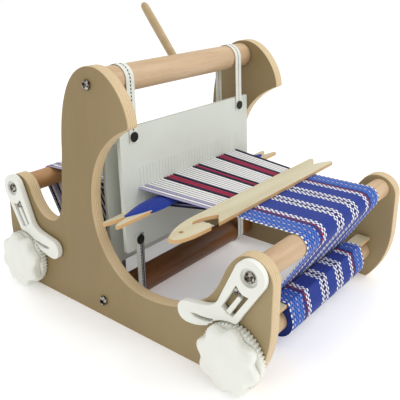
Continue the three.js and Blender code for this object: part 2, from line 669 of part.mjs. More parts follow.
function onThread(near, far, normal) {
  return harnessPoint(normal, threadAt(near, far, normal));
}
add("warp_front", join(
  warpSheet(fell, onThread(fellLocal, eyeFront, frontOuter), clothX, warpX),
  warpSheet(fell, onThread(fellLocal, eyeBack, frontOuter), clothX, warpX),
), "warp");
add("warp_middle_upper", warpSheet(onThread(eyeFront, beamLocal, frontInner),
  onThread(eyeFront, beamLocal, backInner), warpX, warpX), "warp");
add("warp_middle_lower", warpSheet(onThread(fellLocal, eyeBack, frontInner),
  onThread(fellLocal, eyeBack, backInner), warpX, warpX), "warp");
add("warp_back", join(
  warpSheet(onThread(eyeFront, beamLocal, backOuter), beamTop, warpX, warpX),
  warpSheet(onThread(eyeBack, beamLocal, backOuter), beamTop, warpX, warpX),
  alongX(band(overBeam(76).map(([y, z]) => [-y, z]), WARP_THICKNESS), ...warpX),
), "warp");

// The web runs from the fell over the front beam and down behind it to the roll.
const clothPath = [[FELL_Y - GAP - 0.1, fell[1]], ...overBeam(88)];
add("woven_cloth", alongX(band(clothPath, WARP_THICKNESS), ...clothX), "cloth");

function wound([y, z], x0, x1) {
  return cut(rod(x0, x1, ROLL_RADIUS, y, z, 48), rod(x0 - 1, x1 + 1, WIND_RADIUS + GAP, y, z));
}

// The apron stick is wound in under the last turns of cloth, which stand up over it.
const stickBottom = WIND_Z + ROLL_RADIUS - STICK_SUNK;
const stickTop = stickBottom + STICK_THICKNESS;
const stickCentre = -WIND_Y - STICK_SHIFT;
const stickY = [stickCentre - STICK_WIDTH / 2, stickCentre + STICK_WIDTH / 2];
const stickX = [-STICK_LENGTH / 2, STICK_LENGTH / 2];
add("apron_stick", box(...stickX, ...stickY, stickBottom, stickTop), "birch");

// Angle at which a straight turn of cloth leaves the roll for a corner over the stick.
function leaveAngle(across, up, side) {
  const reach = Math.acos(ROLL_RADIUS / Math.hypot(across, up));
  return THREE.MathUtils.radToDeg(Math.atan2(up, across) - side * reach);
}
const cornerUp = stickTop + COVER - WIND_Z;
const corners = [stickY[1] + COVER + WIND_Y, stickY[0] - COVER + WIND_Y];
const rollOutline = shapeOf([
  ...arc(-WIND_Y, WIND_Z, ROLL_RADIUS, leaveAngle(corners[1], cornerUp, -1) - 360,
    leaveAngle(corners[0], cornerUp, 1), 40),
  [corners[0] - WIND_Y, cornerUp + WIND_Z], [corners[1] - WIND_Y, cornerUp + WIND_Z],
]);
add("cloth_roll", cut(alongX(rollOutline, ...clothX),
  rod(clothX[0] - 1, clothX[1] + 1, WIND_RADIUS + GAP, ...axes.clothRoller),
  box(...stickX, stickY[0] - GAP, stickY[1] + GAP, stickBottom - GAP, stickTop + GAP)), "cloth");
add("warp_roll", wound(axes.warpRoller, ...warpX), "warp");

// ---------- shuttles ----------
// A flat stick shuttle lying along X: pointed hook at the left end, open fork at the right.
function hookShuttle() {
  const half = SHUTTLE_LENGTH / 2;
  const w = SHUTTLE_WIDTH / 2;
  const s = new THREE.Shape();
  s.moveTo(-half, -w * 0.35);
  s.bezierCurveTo(-half + 4, -w * 0.9, -half + 30, -w, -half + 49, -w);
  s.lineTo(-half + 55, -w * 0.55);
  s.bezierCurveTo(-half + 50, 0, -half + 46, w * 0.15, -half + 40, w * 0.18);
  s.lineTo(-half + 46, w * 0.42);
  s.bezierCurveTo(-half + 62, w * 0.4, -half + 70, w * 0.1, -half + 78, -w * 0.2);
  s.lineTo(-half + 70, -w * 0.55);
  s.lineTo(-half + 62, -w);
  s.lineTo(half - 6, -w);
  s.quadraticCurveTo(half, -w, half - 1, -w * 0.72);
  s.bezierCurveTo(half - 14, -w * 0.2, half - 24, 0, half - 30, w * 0.06);
  s.bezierCurveTo(half - 20, w * 0.3, half - 10, w * 0.5, half - 7, w * 0.78);
  s.quadraticCurveTo(half - 8, w, half - 14, w);
  s.lineTo(-half + 60, w);
  s.bezierCurveTo(-half + 30, w, -half + 12, w * 0.5, -half, w * 0.05);
  s.lineTo(-half, -w * 0.35);
  const eye = new THREE.Path();
  eye.absellipse(-half + 19, 0, 2.6, 2.2, 0, Math.PI * 2, true);
  s.holes.push(eye);
  return s;
}

// A plain stick shuttle: an open notch in each end, the weft wound between them.
function notchShuttle() {
  const half = REAR_SHUTTLE_LENGTH / 2;
  const w = REAR_SHUTTLE_WIDTH / 2;
  const notch = NOTCH;
  const s = new THREE.Shape();
  s.moveTo(-half + 3, -w);
  s.lineTo(half - 3, -w);
  s.quadraticCurveTo(half, -w, half, -w * 0.7);
  s.bezierCurveTo(half - 6, -w * 0.3, half - notch + 4, -w * 0.3, half - notch, 0);
  s.bezierCurveTo(half - notch + 4, w * 0.3, half - 6, w * 0.3, half, w * 0.7);
  s.quadraticCurveTo(half, w, half - 3, w);
  s.lineTo(-half + 3, w);
  s.quadraticCurveTo(-half, w, -half, w * 0.7);
  s.bezierCurveTo(-half + 6, w * 0.3, -half + notch - 4, w * 0.3, -half + notch, 0);
  s.bezierCurveTo(-half + notch - 4, -w * 0.3, -half + 6, -w * 0.3, -half, -w * 0.7);
  s.quadraticCurveTo(-half, -w, -half + 3, -w);
  return s;
}

// Rests the front shuttle across the web, just in front of the fell.
const restLift = WARP_THICKNESS / 2 + 1;
const frontShuttle = new THREE.Group();
frontShuttle.position.set(-11, FELL_Y - 11, fell[1] + restLift);
loom.add(frontShuttle);
add("front_shuttle", alongZ(hookShuttle(), 0, SHUTTLE_THICKNESS, SHUTTLE_EASE), "birch", frontShuttle);

// The rear shuttle lies in the open shed, along the slope of the lowered threads.
const shedSlope = (fell[1] - harnessPoint(...eyeBack)[1]) / (harnessPoint(...eyeBack)[0] - FELL_Y);
const rearShuttle = new THREE.Group();
const shedY = LOWER_ROLLER_Y - ROLLER_RADIUS - REAR_SHUTTLE_WIDTH / 2 - YARN_THICKNESS - BEAT_ROOM;
const shedFloor = fell[1] - shedSlope * (shedY - FELL_Y) + WARP_THICKNESS / 2;
rearShuttle.position.set(-12, shedY, shedFloor + GAP + YARN_THICKNESS);
rearShuttle.rotation.set(-Math.atan(shedSlope), 0, THREE.MathUtils.degToRad(SHUTTLE_TURN));
loom.add(rearShuttle);
add("rear_shuttle", alongZ(notchShuttle(), 0, SHUTTLE_THICKNESS, SHUTTLE_EASE), "birch", rearShuttle);

function yarnSleeve() {
  const reach = REAR_SHUTTLE_LENGTH / 2 - NOTCH;
  const w = REAR_SHUTTLE_WIDTH / 2;
  const outer = box(-reach, reach, -w - YARN_THICKNESS, w + YARN_THICKNESS,
    -YARN_THICKNESS, SHUTTLE_THICKNESS + YARN_THICKNESS);
  return cut(outer, box(-reach - 1, reach + 1, -w - GAP, w + GAP, -GAP, SHUTTLE_THICKNESS + GAP));
}
add("weft_yarn", yarnSleeve(), "yarn", rearShuttle);

export default loom;
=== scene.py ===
import math

import bmesh
import bpy
from mathutils import Matrix, Vector

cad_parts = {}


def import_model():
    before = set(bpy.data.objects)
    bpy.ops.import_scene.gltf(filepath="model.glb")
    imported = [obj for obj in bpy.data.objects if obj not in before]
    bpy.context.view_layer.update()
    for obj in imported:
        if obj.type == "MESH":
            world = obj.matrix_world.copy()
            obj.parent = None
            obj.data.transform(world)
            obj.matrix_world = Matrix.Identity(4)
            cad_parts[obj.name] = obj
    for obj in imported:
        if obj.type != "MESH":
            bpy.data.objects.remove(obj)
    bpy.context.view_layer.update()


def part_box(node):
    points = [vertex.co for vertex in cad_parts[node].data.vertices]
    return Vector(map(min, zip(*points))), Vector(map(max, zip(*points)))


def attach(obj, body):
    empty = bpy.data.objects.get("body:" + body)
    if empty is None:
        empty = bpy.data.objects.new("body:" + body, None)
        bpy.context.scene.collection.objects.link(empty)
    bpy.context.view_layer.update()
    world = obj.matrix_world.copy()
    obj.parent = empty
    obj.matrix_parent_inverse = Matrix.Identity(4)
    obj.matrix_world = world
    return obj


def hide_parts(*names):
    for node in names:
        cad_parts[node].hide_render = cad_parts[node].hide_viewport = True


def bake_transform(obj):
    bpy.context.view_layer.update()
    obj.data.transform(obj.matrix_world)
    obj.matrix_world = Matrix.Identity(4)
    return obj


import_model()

MM = 0.001  # everything below is worked out in millimetres, and made in metres


# ---------- places taken from the CAD ----------
def low(node):
    return [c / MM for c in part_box(node)[0]]


def high(node):
    return [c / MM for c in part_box(node)[1]]


def axis_of(node):
    """(y, z) of a piece that is round about X."""
    return tuple((a + b) / 2 for a, b in zip(low(node)[1:], high(node)[1:]))


MIDDLE = (low("front_beam")[0] + high("front_beam")[0]) / 2  # the plane between the side panels
OUTER = MIDDLE - low("left_side_panel")[0]
INNER = MIDDLE - high("left_side_panel")[0]
EDGE = high("left_side_panel")[1]
TOP = high("left_side_panel")[2]
FRONT_BEAM = axis_of("front_beam")
BACK_BEAM = axis_of("back_beam")
BEAM_RADIUS = high("front_beam")[2] - FRONT_BEAM[1]
TOP_ROLLER = axis_of("top_roller")
LOWER_ROLLER = axis_of("lower_roller")
ROLLER_RADIUS = high("top_roller")[2] - TOP_ROLLER[1]
CLOTH_ROLLER = axis_of("cloth_roller")
WARP_ROLLER = axis_of("warp_roller")
ROLL_RADIUS = high("warp_roll")[2] - WARP_ROLLER[1]
WIND_RADIUS = high("warp_roller")[2] - WARP_ROLLER[1]
KNOB_OUTER = MIDDLE - low("cloth_knob")[0]
GAP = 0.3
JOURNAL = 8  # radius of the winding rollers' ends, which turn in the left panel
SCREW_HOLE = 3.3
WHEEL_GAP = 1  # from the panel to the ratchet wheels and pawls
WHEEL_WIDTH = 7.5
WHEEL_BACK = MIDDLE - OUTER - WHEEL_GAP
WHEEL_FACE = WHEEL_BACK - WHEEL_WIDTH
RECESS = 3  # depth of the seat for the screw's head in a pawl

LEAN = math.atan2(TOP_ROLLER[0] - LOWER_ROLLER[0], TOP_ROLLER[1] - LOWER_ROLLER[1])
SPAN = math.hypot(TOP_ROLLER[0] - LOWER_ROLLER[0], TOP_ROLLER[1] - LOWER_ROLLER[1])
HANDLE_LEAN = math.radians(38.6)
STRAP_MID = ROLLER_RADIUS + 0.9  # to the middle of a strap's thickness
BOARD_WIDTH = high("front_heddle_board")[0] - low("front_heddle_board")[0]
BOARD_HEIGHT = 148
BOARD_THICK = 5
BOARD_RISE = 10.3  # of the boards above the front beam, at the middle of their travel
BOARD_LEVEL = FRONT_BEAM[1] - LOWER_ROLLER[1] + BOARD_RISE
SHED = STRAP_MID * HANDLE_LEAN
BOARDS = {"front": (-1, BOARD_LEVEL + SHED), "back": (1, BOARD_LEVEL - SHED)}
STUD_INSET = 21  # from the boards' side edges
STUD_DROP = 11.5  # from their upper and lower edges
STUD_RISE = BOARD_HEIGHT / 2 - STUD_DROP
STUD_SPAN = BOARD_WIDTH - 2 * STUD_INSET
EYE_PITCH = 5.6
EYES = 36
WARP_WIDTH = high("warp_roll")[0] - low("warp_roll")[0]
CLOTH_LEFT = low("cloth_roll")[0]
CLOTH_RIGHT = high("cloth_roll")[0]
SHEET = 0.8
BEAM_WRAP = BEAM_RADIUS + GAP + SHEET / 2
FELL_BEHIND = 97  # from the front beam's axis back to the last pick
FELL_DROP = 1.5
FELL = (FRONT_BEAM[0] + FELL_BEHIND, FRONT_BEAM[1] + BEAM_WRAP - FELL_DROP)


def harness(normal, up):
    """(y, z) of a point in the leaning plane of the straps and boards."""
    return (
        LOWER_ROLLER[0] + normal * math.cos(LEAN) + up * math.sin(LEAN),
        LOWER_ROLLER[1] - normal * math.sin(LEAN) + up * math.cos(LEAN),
    )


UP_THE_BOARDS = Vector((0, math.sin(LEAN), math.cos(LEAN)))
OFF_THE_BOARDS = Vector((0, math.cos(LEAN), -math.sin(LEAN)))


def shift(x, y, z):
    """A move given in millimetres."""
    return Matrix.Translation(Vector((x, y, z)) * MM)


def facing(x, y, z):
    """A turn that points X, Y and Z along these three directions."""
    return Matrix((x, y, z)).transposed().to_4x4()


# ---------- meshes ----------
def as_mesh(name, verts, faces, groups=None, smooth=40):
    """An object from points in millimetres; groups gives each face its material number."""
    mesh = bpy.data.meshes.new(name)
    mesh.from_pydata([Vector(v) * MM for v in verts], [], faces)
    if groups:
        mesh.polygons.foreach_set("material_index", groups)
    return as_object(name, mesh, smooth)


def as_object(name, mesh, smooth=40):
    bm = bmesh.new()
    bm.from_mesh(mesh)
    bmesh.ops.recalc_face_normals(bm, faces=bm.faces)
    bm.to_mesh(mesh)
    bm.free()
    mesh.polygons.foreach_set("use_smooth", [True] * len(mesh.polygons))
    mesh.set_sharp_from_angle(angle=math.radians(smooth))
    obj = bpy.data.objects.new(name, mesh)
    bpy.context.scene.collection.objects.link(obj)
    return obj


def final_mesh(obj):
    """The object's mesh with its modifiers or curve settings carried out."""
    graph = bpy.context.evaluated_depsgraph_get()
    return bpy.data.meshes.new_from_object(obj.evaluated_get(graph))


def carve(obj, *cutters):
    for cutter in cutters:
        step = obj.modifiers.new("carve", "BOOLEAN")
        step.operation = "DIFFERENCE"
        step.solver = "EXACT"
        step.object = cutter
    mesh = final_mesh(obj)
    obj.modifiers.clear()
    obj.data = mesh
    for cutter in cutters:
        bpy.data.objects.remove(cutter)


def paint(obj, *materials):
    for material in materials:
        obj.data.materials.append(material)


def piece(obj, body, replaced, materials):
    """Paints a finished object, hangs it on its body and hides the CAD parts it stands for; body is None for
    one that spans two bodies, which is left unattached.
    """
    paint(obj, *materials)
    if body:
        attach(obj, body)
    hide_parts(*replaced)


class Outline:
    """A closed outline drawn with lines, curves and arcs."""

    def __init__(self, u, v):
        self.points = [Vector((u, v))]

    def line(self, u, v):
        self.points.append(Vector((u, v)))
        return self

    def curve(self, a, b, end, steps=20):
        start, a, b, end = self.points[-1], Vector(a), Vector(b), Vector(end)
        for i in range(1, steps + 1):
            t = i / steps
            s = 1 - t
            self.points.append(start * s**3 + a * 3 * s * s * t + b * 3 * s * t * t + end * t**3)
        return self

    def bow(self, a, end):
        start, a, end = self.points[-1], Vector(a), Vector(end)
        return self.curve(start + (a - start) * 2 / 3, end + (a - end) * 2 / 3, end, 10)

    def arc(self, u, v, radius, start, end, steps=36):
        for i in range(steps + 1):
            a = start + (end - start) * i / steps
            self.points.append(Vector((u + radius * math.cos(a), v + radius * math.sin(a))))
        return self


def circle(u, v, radius, steps=32):
    step = 2 * math.pi / steps
    return Outline(u + radius, v).arc(u, v, radius, step, step * (steps - 1), steps - 2)


def plate(name, outlines, depth0, depth1, ease, along="X"):
    """Outlines filled and given thickness, with rounded rims; the first is the rim, the rest are holes."""
    data = bpy.data.curves.new(name, "CURVE")
    data.dimensions = "2D"
    data.fill_mode = "BOTH"
    data.extrude = (depth1 - depth0) / 2 - ease
    data.bevel_depth = ease
    data.bevel_resolution = 2
    data.offset = -ease
    for outline in outlines:
        kept = [p for i, p in enumerate(outline.points) if (p - outline.points[i - 1]).length > 0.02]
        spline = data.splines.new("POLY")
        spline.points.add(len(kept) - 1)
        for point, p in zip(spline.points, kept):
            point.co = (p.x, p.y, 0, 1)
        spline.use_cyclic_u = True
    shape = bpy.data.objects.new(name, data)
    bpy.context.scene.collection.objects.link(shape)
    mesh = final_mesh(shape)
    bpy.data.objects.remove(shape)
    middle = (depth0 + depth1) / 2
    if along == "X":
        turn = Matrix(((0, 0, 1, middle), (1, 0, 0, 0), (0, 1, 0, 0), (0, 0, 0, 1)))
    else:
        turn = Matrix.Translation((0, 0, middle))
    mesh.transform(turn)
    bm = bmesh.new()
    bm.from_mesh(mesh)
    bmesh.ops.remove_doubles(bm, verts=bm.verts, dist=0.002)
    bm.to_mesh(mesh)
    bm.free()
    mesh.transform(Matrix.Scale(MM, 4))
    obj = as_object(name, mesh, 50)
    side = 0 if along == "X" else 2
    flat = [abs(p.normal[side]) < 0.999 for p in obj.data.polygons]
    obj.data.polygons.foreach_set("use_smooth", flat)
    return obj


def turned(name, profile, y, z, steps=96, wave=None):
    """A shape turned about X from (x, radius) pairs; wave(angle) scales the radius where it is asked for."""
    verts, faces = [], []
    rings = []
    for x, radius, *waved in profile:
        if radius == 0:
            rings.append([len(verts)])
            verts.append((x, y, z))
            continue
        ring = []
        for i in range(steps):
            a = 2 * math.pi * i / steps
            r = radius * (1 + waved[0] * wave(a)) if waved and wave else radius
            ring.append(len(verts))
            verts.append((x, y + r * math.cos(a), z + r * math.sin(a)))
        rings.append(ring)
    for one, two in zip(rings, rings[1:]):
        for i in range(steps):
            j = (i + 1) % steps
            quad = [one[i % len(one)], one[j % len(one)], two[j % len(two)], two[i % len(two)]]
            faces.append(tuple(dict.fromkeys(quad)))
    for ring, back in ((rings[0], True), (rings[-1], False)):
        if len(ring) > 1:
            faces.append(tuple(reversed(ring)) if back else tuple(ring))
    return as_mesh(name, verts, faces, smooth=35)


def rod(x0, x1, radius):
    """(x, radius) pairs of a rod with rounded ends."""
    ease, steps = 1.2, 4
    angles = [math.pi / 2 * i / steps for i in range(steps + 1)]
    start = [(x0 + ease * (1 - math.cos(a)), radius - ease + ease * math.sin(a)) for a in angles]
    return start + [(x1 - (x - x0), r) for x, r in reversed(start)]


def band(first, second, size):
    """Faces between two rings of points, given the number of each ring's first point."""
    ring = [(i, (i + 1) % size) for i in range(size)]
    return [(first + i, first + j, second + j, second + i) for i, j in ring]


def tubes(name, lines, radii, groups=None, sides=8, flat=1.0):
    """Round threads along lists of points, as one object; radii has a number or a list for each line."""
    verts, faces, numbers = [], [], []
    for k, (line, radius) in enumerate(zip(lines, radii)):
        points = [Vector(p) for p in line]
        first = len(verts)
        for i, p in enumerate(points):
            way = (points[min(i + 1, len(points) - 1)] - points[max(i - 1, 0)]).normalized()
            across = Vector((1, 0, 0)) if abs(way.x) < 0.9 else Vector((0, 1, 0))
            up = across.cross(way).normalized()
            across = way.cross(up).normalized()
            r = radius[i] if isinstance(radius, (list, tuple)) else radius
            for s in range(sides):
                a = 2 * math.pi * s / sides
                verts.append(p + across * (r * math.cos(a)) + up * (r * flat * math.sin(a)))
        for row in range(first, len(verts) - sides, sides):
            faces += band(row, row + sides, sides)
        faces.append(tuple(reversed(range(first, first + sides))))
        faces.append(tuple(range(len(verts) - sides, len(verts))))
        numbers += [groups[k] if groups else 0] * (len(faces) - len(numbers))
    return as_mesh(name, verts, faces, numbers, smooth=60)


# ---------- materials ----------
def srgb(r, g, b):
    """A colour as seen, 0 to 255, in the linear values that shaders take."""
    return [(c / 255 / 12.92 if c <= 10 else ((c / 255 + 0.055) / 1.055) ** 2.4) for c in (r, g, b)] + [1]


class Paint:
    """A principled material and short names for the nodes that feed it."""

    def __init__(self, name, roughness=0.5, metallic=0.0, **constants):
        self.material = bpy.data.materials.new(name)
        self.material.use_nodes = True
        self.tree = self.material.node_tree
        self.shader = self.tree.nodes["Principled BSDF"]
        self.shader.inputs["Roughness"].default_value = roughness
        self.shader.inputs["Metallic"].default_value = metallic
        for key, value in constants.items():
            self.shader.inputs[key.replace("_", " ")].default_value = value
        self.place = self.node("ShaderNodeTexCoord").outputs["Object"]

    def node(self, kind, inputs=None, **settings):
        made = self.tree.nodes.new(kind)
        for key, value in settings.items():
            setattr(made, key, value)
        for key, value in (inputs or {}).items():
            if isinstance(value, bpy.types.NodeSocket):
                self.tree.links.new(value, made.inputs[key])
            else:
                made.inputs[key].default_value = value
        return made

    def stretched(self, scale, turn=(0, 0, 0)):
        inputs = {"Vector": self.place, "Scale": scale, "Rotation": turn}
        return self.node("ShaderNodeMapping", inputs).outputs[0]

    def noise(self, scale, detail=4.0, rough=0.55, stretch=(1, 1, 1), warp=0.0, turn=(0, 0, 0)):
        return self.node("ShaderNodeTexNoise", {
            "Vector": self.stretched(stretch, turn), "Scale": scale, "Detail": detail,
            "Roughness": rough, "Distortion": warp}).outputs["Fac"]

    def wave(self, scale, stretch=(1, 1, 1), turn=(0, 0, 0), warp=0.0, direction="X"):
        return self.node("ShaderNodeTexWave", {
            "Vector": self.stretched(stretch, turn), "Scale": scale, "Distortion": warp},
            bands_direction=direction).outputs["Fac"]

    def ramp(self, fac, stops):
        made = self.node("ShaderNodeValToRGB", {"Fac": fac})
        ends = made.color_ramp.elements
        while len(ends) < len(stops):
            ends.new(0.5)
        for end, (place, colour) in zip(ends, stops):
            end.position = place
            end.color = colour
        return made.outputs["Color"]

    def grade(self, fac, low_in, high_in, low_out=0.0, high_out=1.0):
        return self.node("ShaderNodeMapRange", {
            "Value": fac, "From Min": low_in, "From Max": high_in, "To Min": low_out,
            "To Max": high_out}).outputs[0]

    def mix(self, fac, a, b):
        return self.node("ShaderNodeMix", {0: fac, 6: a, 7: b}, data_type="RGBA").outputs[2]

    def maths(self, operation, a, b=0.0):
        return self.node("ShaderNodeMath", {0: a, 1: b}, operation=operation).outputs[0]

    def axis(self, source, letter):
        return self.node("ShaderNodeSeparateXYZ", {"Vector": source}).outputs[letter]

    def normal(self):
        return self.node("ShaderNodeNewGeometry").outputs["Normal"]

    def finish(self, colour=None, roughness=None, bumps=()):
        links = self.tree.links
        if colour is not None:
            links.new(colour, self.shader.inputs["Base Color"])
        if roughness is not None:
            links.new(roughness, self.shader.inputs["Roughness"])
        last = None
        for height, distance, strength in bumps:
            inputs = {"Height": height, "Distance": distance, "Strength": strength}
            if last is not None:
                inputs["Normal"] = last
            last = self.node("ShaderNodeBump", inputs).outputs[0]
        if last is not None:
            links.new(last, self.shader.inputs["Normal"])
        return self.material


def ply_material():
    """Clear-finished plywood: a quiet veneer face, painted paler towards the front edge as painted light,
    and a sanded edge with its plies showing.
    """
    p = Paint("ply", roughness=0.5)
    cloud = p.noise(7, 2, stretch=(1, 1.2, 0.8))
    figure = p.noise(14, 5, 0.5, stretch=(1, 2.2, 0.6), warp=0.8)
    pores = p.noise(420, 3, 0.6, stretch=(1, 1, 0.12))
    face = p.ramp(figure, [(0.3, srgb(136, 115, 73)), (0.52, srgb(141, 120, 78)),
                           (0.75, srgb(146, 125, 83))])
    face = p.mix(p.grade(cloud, 0.35, 0.7, 0, 0.6), face, srgb(150, 129, 88))
    face = p.mix(p.grade(pores, 0.56, 0.8, 0, 0.2), face, srgb(112, 90, 54))
    # painted light: the veneer face is painted paler towards the front edge (lower Y), where the key light
    # falls
    face = p.mix(p.grade(p.axis(p.place, "Y"), 0.04, -0.19, 0, 0.75), face, srgb(170, 151, 112))
    across = p.axis(p.place, "X")
    plies = p.maths("SINE", p.maths("MULTIPLY", across, 2 * math.pi / (3.0 * MM)))
    wander = p.maths("ADD", plies, p.grade(p.noise(30, 2), 0, 1, -0.5, 0.5))
    fleck = p.noise(300, 4, 0.7, stretch=(2.2, 1, 1))
    edge = p.ramp(wander, [(0.0, srgb(205, 180, 138)), (0.42, srgb(222, 199, 160)),
                           (0.5, srgb(186, 156, 112)), (0.62, srgb(226, 205, 168)),
                           (1.0, srgb(214, 190, 150))])
    edge = p.mix(p.grade(fleck, 0.5, 0.75, 0, 0.4), edge, srgb(176, 144, 100))
    outward = p.grade(p.maths("ABSOLUTE", p.axis(p.normal(), "X")), 0.6, 0.95)
    colour = p.mix(outward, edge, face)
    return p.finish(colour, p.grade(figure, 0.2, 0.8, 0.42, 0.6),
                    [(pores, 0.0002, 0.35), (p.grade(wander, -1, 1), 0.0002, 0.12)])


def wood_material(name, dark, mid, light, pore, sawn=None):
    """Fine-grained wood with its grain along X; sawn is the colour of faces that don't look up or down."""
    p = Paint(name, roughness=0.45)
    squeeze = (0.07, 1, 1)
    figure = p.noise(75, 5, 0.6, stretch=squeeze, warp=0.3)
    streak = p.noise(520, 4, 0.7, stretch=squeeze)
    cloud = p.noise(14, 2)
    colour = p.ramp(figure, [(0.3, dark), (0.5, mid), (0.7, light)])
    colour = p.mix(p.grade(streak, 0.55, 0.78, 0, 0.45), colour, pore)
    colour = p.mix(p.grade(cloud, 0.4, 0.75, 0, 0.35), colour, light)
    if sawn:
        upward = p.grade(p.maths("ABSOLUTE", p.axis(p.normal(), "Z")), 0.5, 0.85)
        colour = p.mix(upward, sawn, colour)
    return p.finish(colour, p.grade(streak, 0.3, 0.8, 0.39, 0.57), [(streak, 0.00015, 0.3)])


def plastic_material(name, shade, dark, gloss):
    """Moulded or cut plastic with faint clouding and fine scuffs."""
    p = Paint(name, roughness=gloss, Specular_IOR_Level=0.45)
    cloud = p.noise(18, 3)
    scuffs = p.noise(160, 5, 0.7, stretch=(1, 0.25, 1), turn=(0.5, 0.2, 0.1))
    colour = p.mix(p.grade(cloud, 0.3, 0.75, 0, 0.5), shade, dark)
    colour = p.mix(p.grade(scuffs, 0.62, 0.8, 0, 0.3), colour, dark)
    return p.finish(colour, p.grade(scuffs, 0.35, 0.75, gloss - 0.05, gloss + 0.16),
                    [(p.noise(900, 2), 0.00005, 0.25)])


def steel_material():
    p = Paint("steel", roughness=0.28, metallic=1.0)
    brush = p.noise(700, 3, 0.6, stretch=(1, 1, 0.2))
    # painted reflection: small light and dark patches in the metal's colour stand in for the bright and dark
    # spots it would reflect
    colour = p.mix(p.grade(p.noise(330, 2), 0.42, 0.56), srgb(186, 182, 172), srgb(58, 52, 44))
    return p.finish(colour, p.grade(brush, 0.3, 0.7, 0.2, 0.42), [(brush, 0.00004, 0.3)])


def rivet_material():
    p = Paint("rivet", roughness=0.5, Specular_IOR_Level=0.25)
    colour = p.mix(p.grade(p.noise(260, 4), 0.5, 0.8), srgb(7, 7, 8), srgb(26, 26, 28))
    return p.finish(colour, p.grade(p.noise(500, 3), 0.3, 0.8, 0.42, 0.62),
                    [(p.noise(800, 3), 0.00005, 0.3)])


def webbing_material():
    """Cotton webbing: a close slanting weave with a soft, dusty surface."""
    p = Paint("webbing", roughness=0.92, Sheen_Weight=0.25, Sheen_Roughness=0.5)
    left = p.wave(420, stretch=(1, 0.5, 0.5), direction="DIAGONAL")
    rows = p.wave(330, direction="Z")
    weave = p.maths("MULTIPLY", left, rows)
    colour = p.mix(p.grade(weave, 0.1, 0.8), srgb(220, 221, 211), srgb(246, 247, 239))
    colour = p.mix(p.grade(p.noise(60, 4), 0.5, 0.8, 0, 0.4), colour, srgb(196, 196, 182))
    return p.finish(colour, None, [(weave, 0.0003, 0.5)])


def yarn_material(name, shade, deep, sheen=0.3):
    """Plied yarn: slanting twist, loose fibres and a colour that wanders."""
    p = Paint(name, roughness=0.88, Sheen_Weight=sheen, Sheen_Roughness=0.45)
    ply = p.wave(520, turn=(0.3, 0.4, 0.7), warp=1.5, direction="DIAGONAL")
    fibres = p.noise(1500, 4, 0.7, stretch=(1, 0.4, 1))
    colour = p.mix(p.grade(ply, 0.1, 0.9), deep, shade)
    colour = p.mix(p.grade(fibres, 0.5, 0.8, 0, 0.4), colour, deep)
    return p.finish(colour, None, [(ply, 0.0003, 0.4), (fibres, 0.0001, 0.4)])


def floor_material():
    p = Paint("floor", roughness=0.75)
    colour = p.mix(p.noise(3, 2), srgb(246, 246, 246), srgb(250, 250, 250))
    p.shader.inputs["Emission Color"].default_value = (1, 1, 1, 1)
    p.shader.inputs["Emission Strength"].default_value = 0.25
    return p.finish(colour)


PLY = ply_material()
BEECH = wood_material("beech", srgb(186, 154, 118), srgb(197, 167, 131), srgb(208, 179, 144),
                      srgb(158, 122, 84))
PALE_BEECH = wood_material("pale_beech", srgb(168, 144, 104), srgb(180, 155, 115), srgb(190, 166, 127),
                           srgb(142, 116, 78))
WARM_BEECH = wood_material("warm_beech", srgb(160, 112, 66), srgb(176, 129, 81), srgb(188, 142, 94),
                           srgb(124, 78, 42))
DARK_WOOD = wood_material("dark_wood", srgb(86, 50, 20), srgb(122, 74, 32), srgb(142, 90, 44),
                          srgb(48, 26, 10))
BIRCH = wood_material("birch", srgb(194, 183, 149), srgb(206, 196, 164), srgb(214, 206, 178),
                      srgb(176, 160, 122), sawn=srgb(206, 166, 114))
WHITE = plastic_material("white_plastic", srgb(240, 241, 233), srgb(224, 224, 213), 0.36)
BOARD = plastic_material("board_plastic", srgb(213, 217, 208), srgb(199, 203, 192), 0.5)
STEEL = steel_material()
RIVET = rivet_material()
WEBBING = webbing_material()
STITCH = yarn_material("stitch_dark", srgb(34, 34, 31), srgb(14, 14, 13), sheen=0.05)
THREADS = {
    "W": yarn_material("thread_white", srgb(250, 250, 248), srgb(236, 235, 236), sheen=0.4),
    "L": yarn_material("thread_pale", srgb(190, 186, 216), srgb(150, 146, 184)),
    "N": yarn_material("thread_navy", srgb(26, 24, 66), srgb(10, 9, 32), sheen=0.05),
    "R": yarn_material("thread_red", srgb(196, 30, 80), srgb(134, 12, 52), sheen=0.15),
    "B": yarn_material("thread_blue", srgb(24, 68, 176), srgb(14, 40, 128), sheen=0.1),
    "D": yarn_material("thread_deep_blue", srgb(18, 50, 148), srgb(9, 26, 100), sheen=0.1),
    "S": yarn_material("thread_sky", srgb(70, 136, 214), srgb(40, 92, 186), sheen=0.15),
    "P": yarn_material("thread_plum", srgb(92, 30, 84), srgb(50, 14, 54), sheen=0.15),
}
COLOURS = list(THREADS)
THREAD_LIST = list(THREADS.values())
WEFT = yarn_material("weft_wool", srgb(16, 62, 178), srgb(6, 28, 112), sheen=0.15)


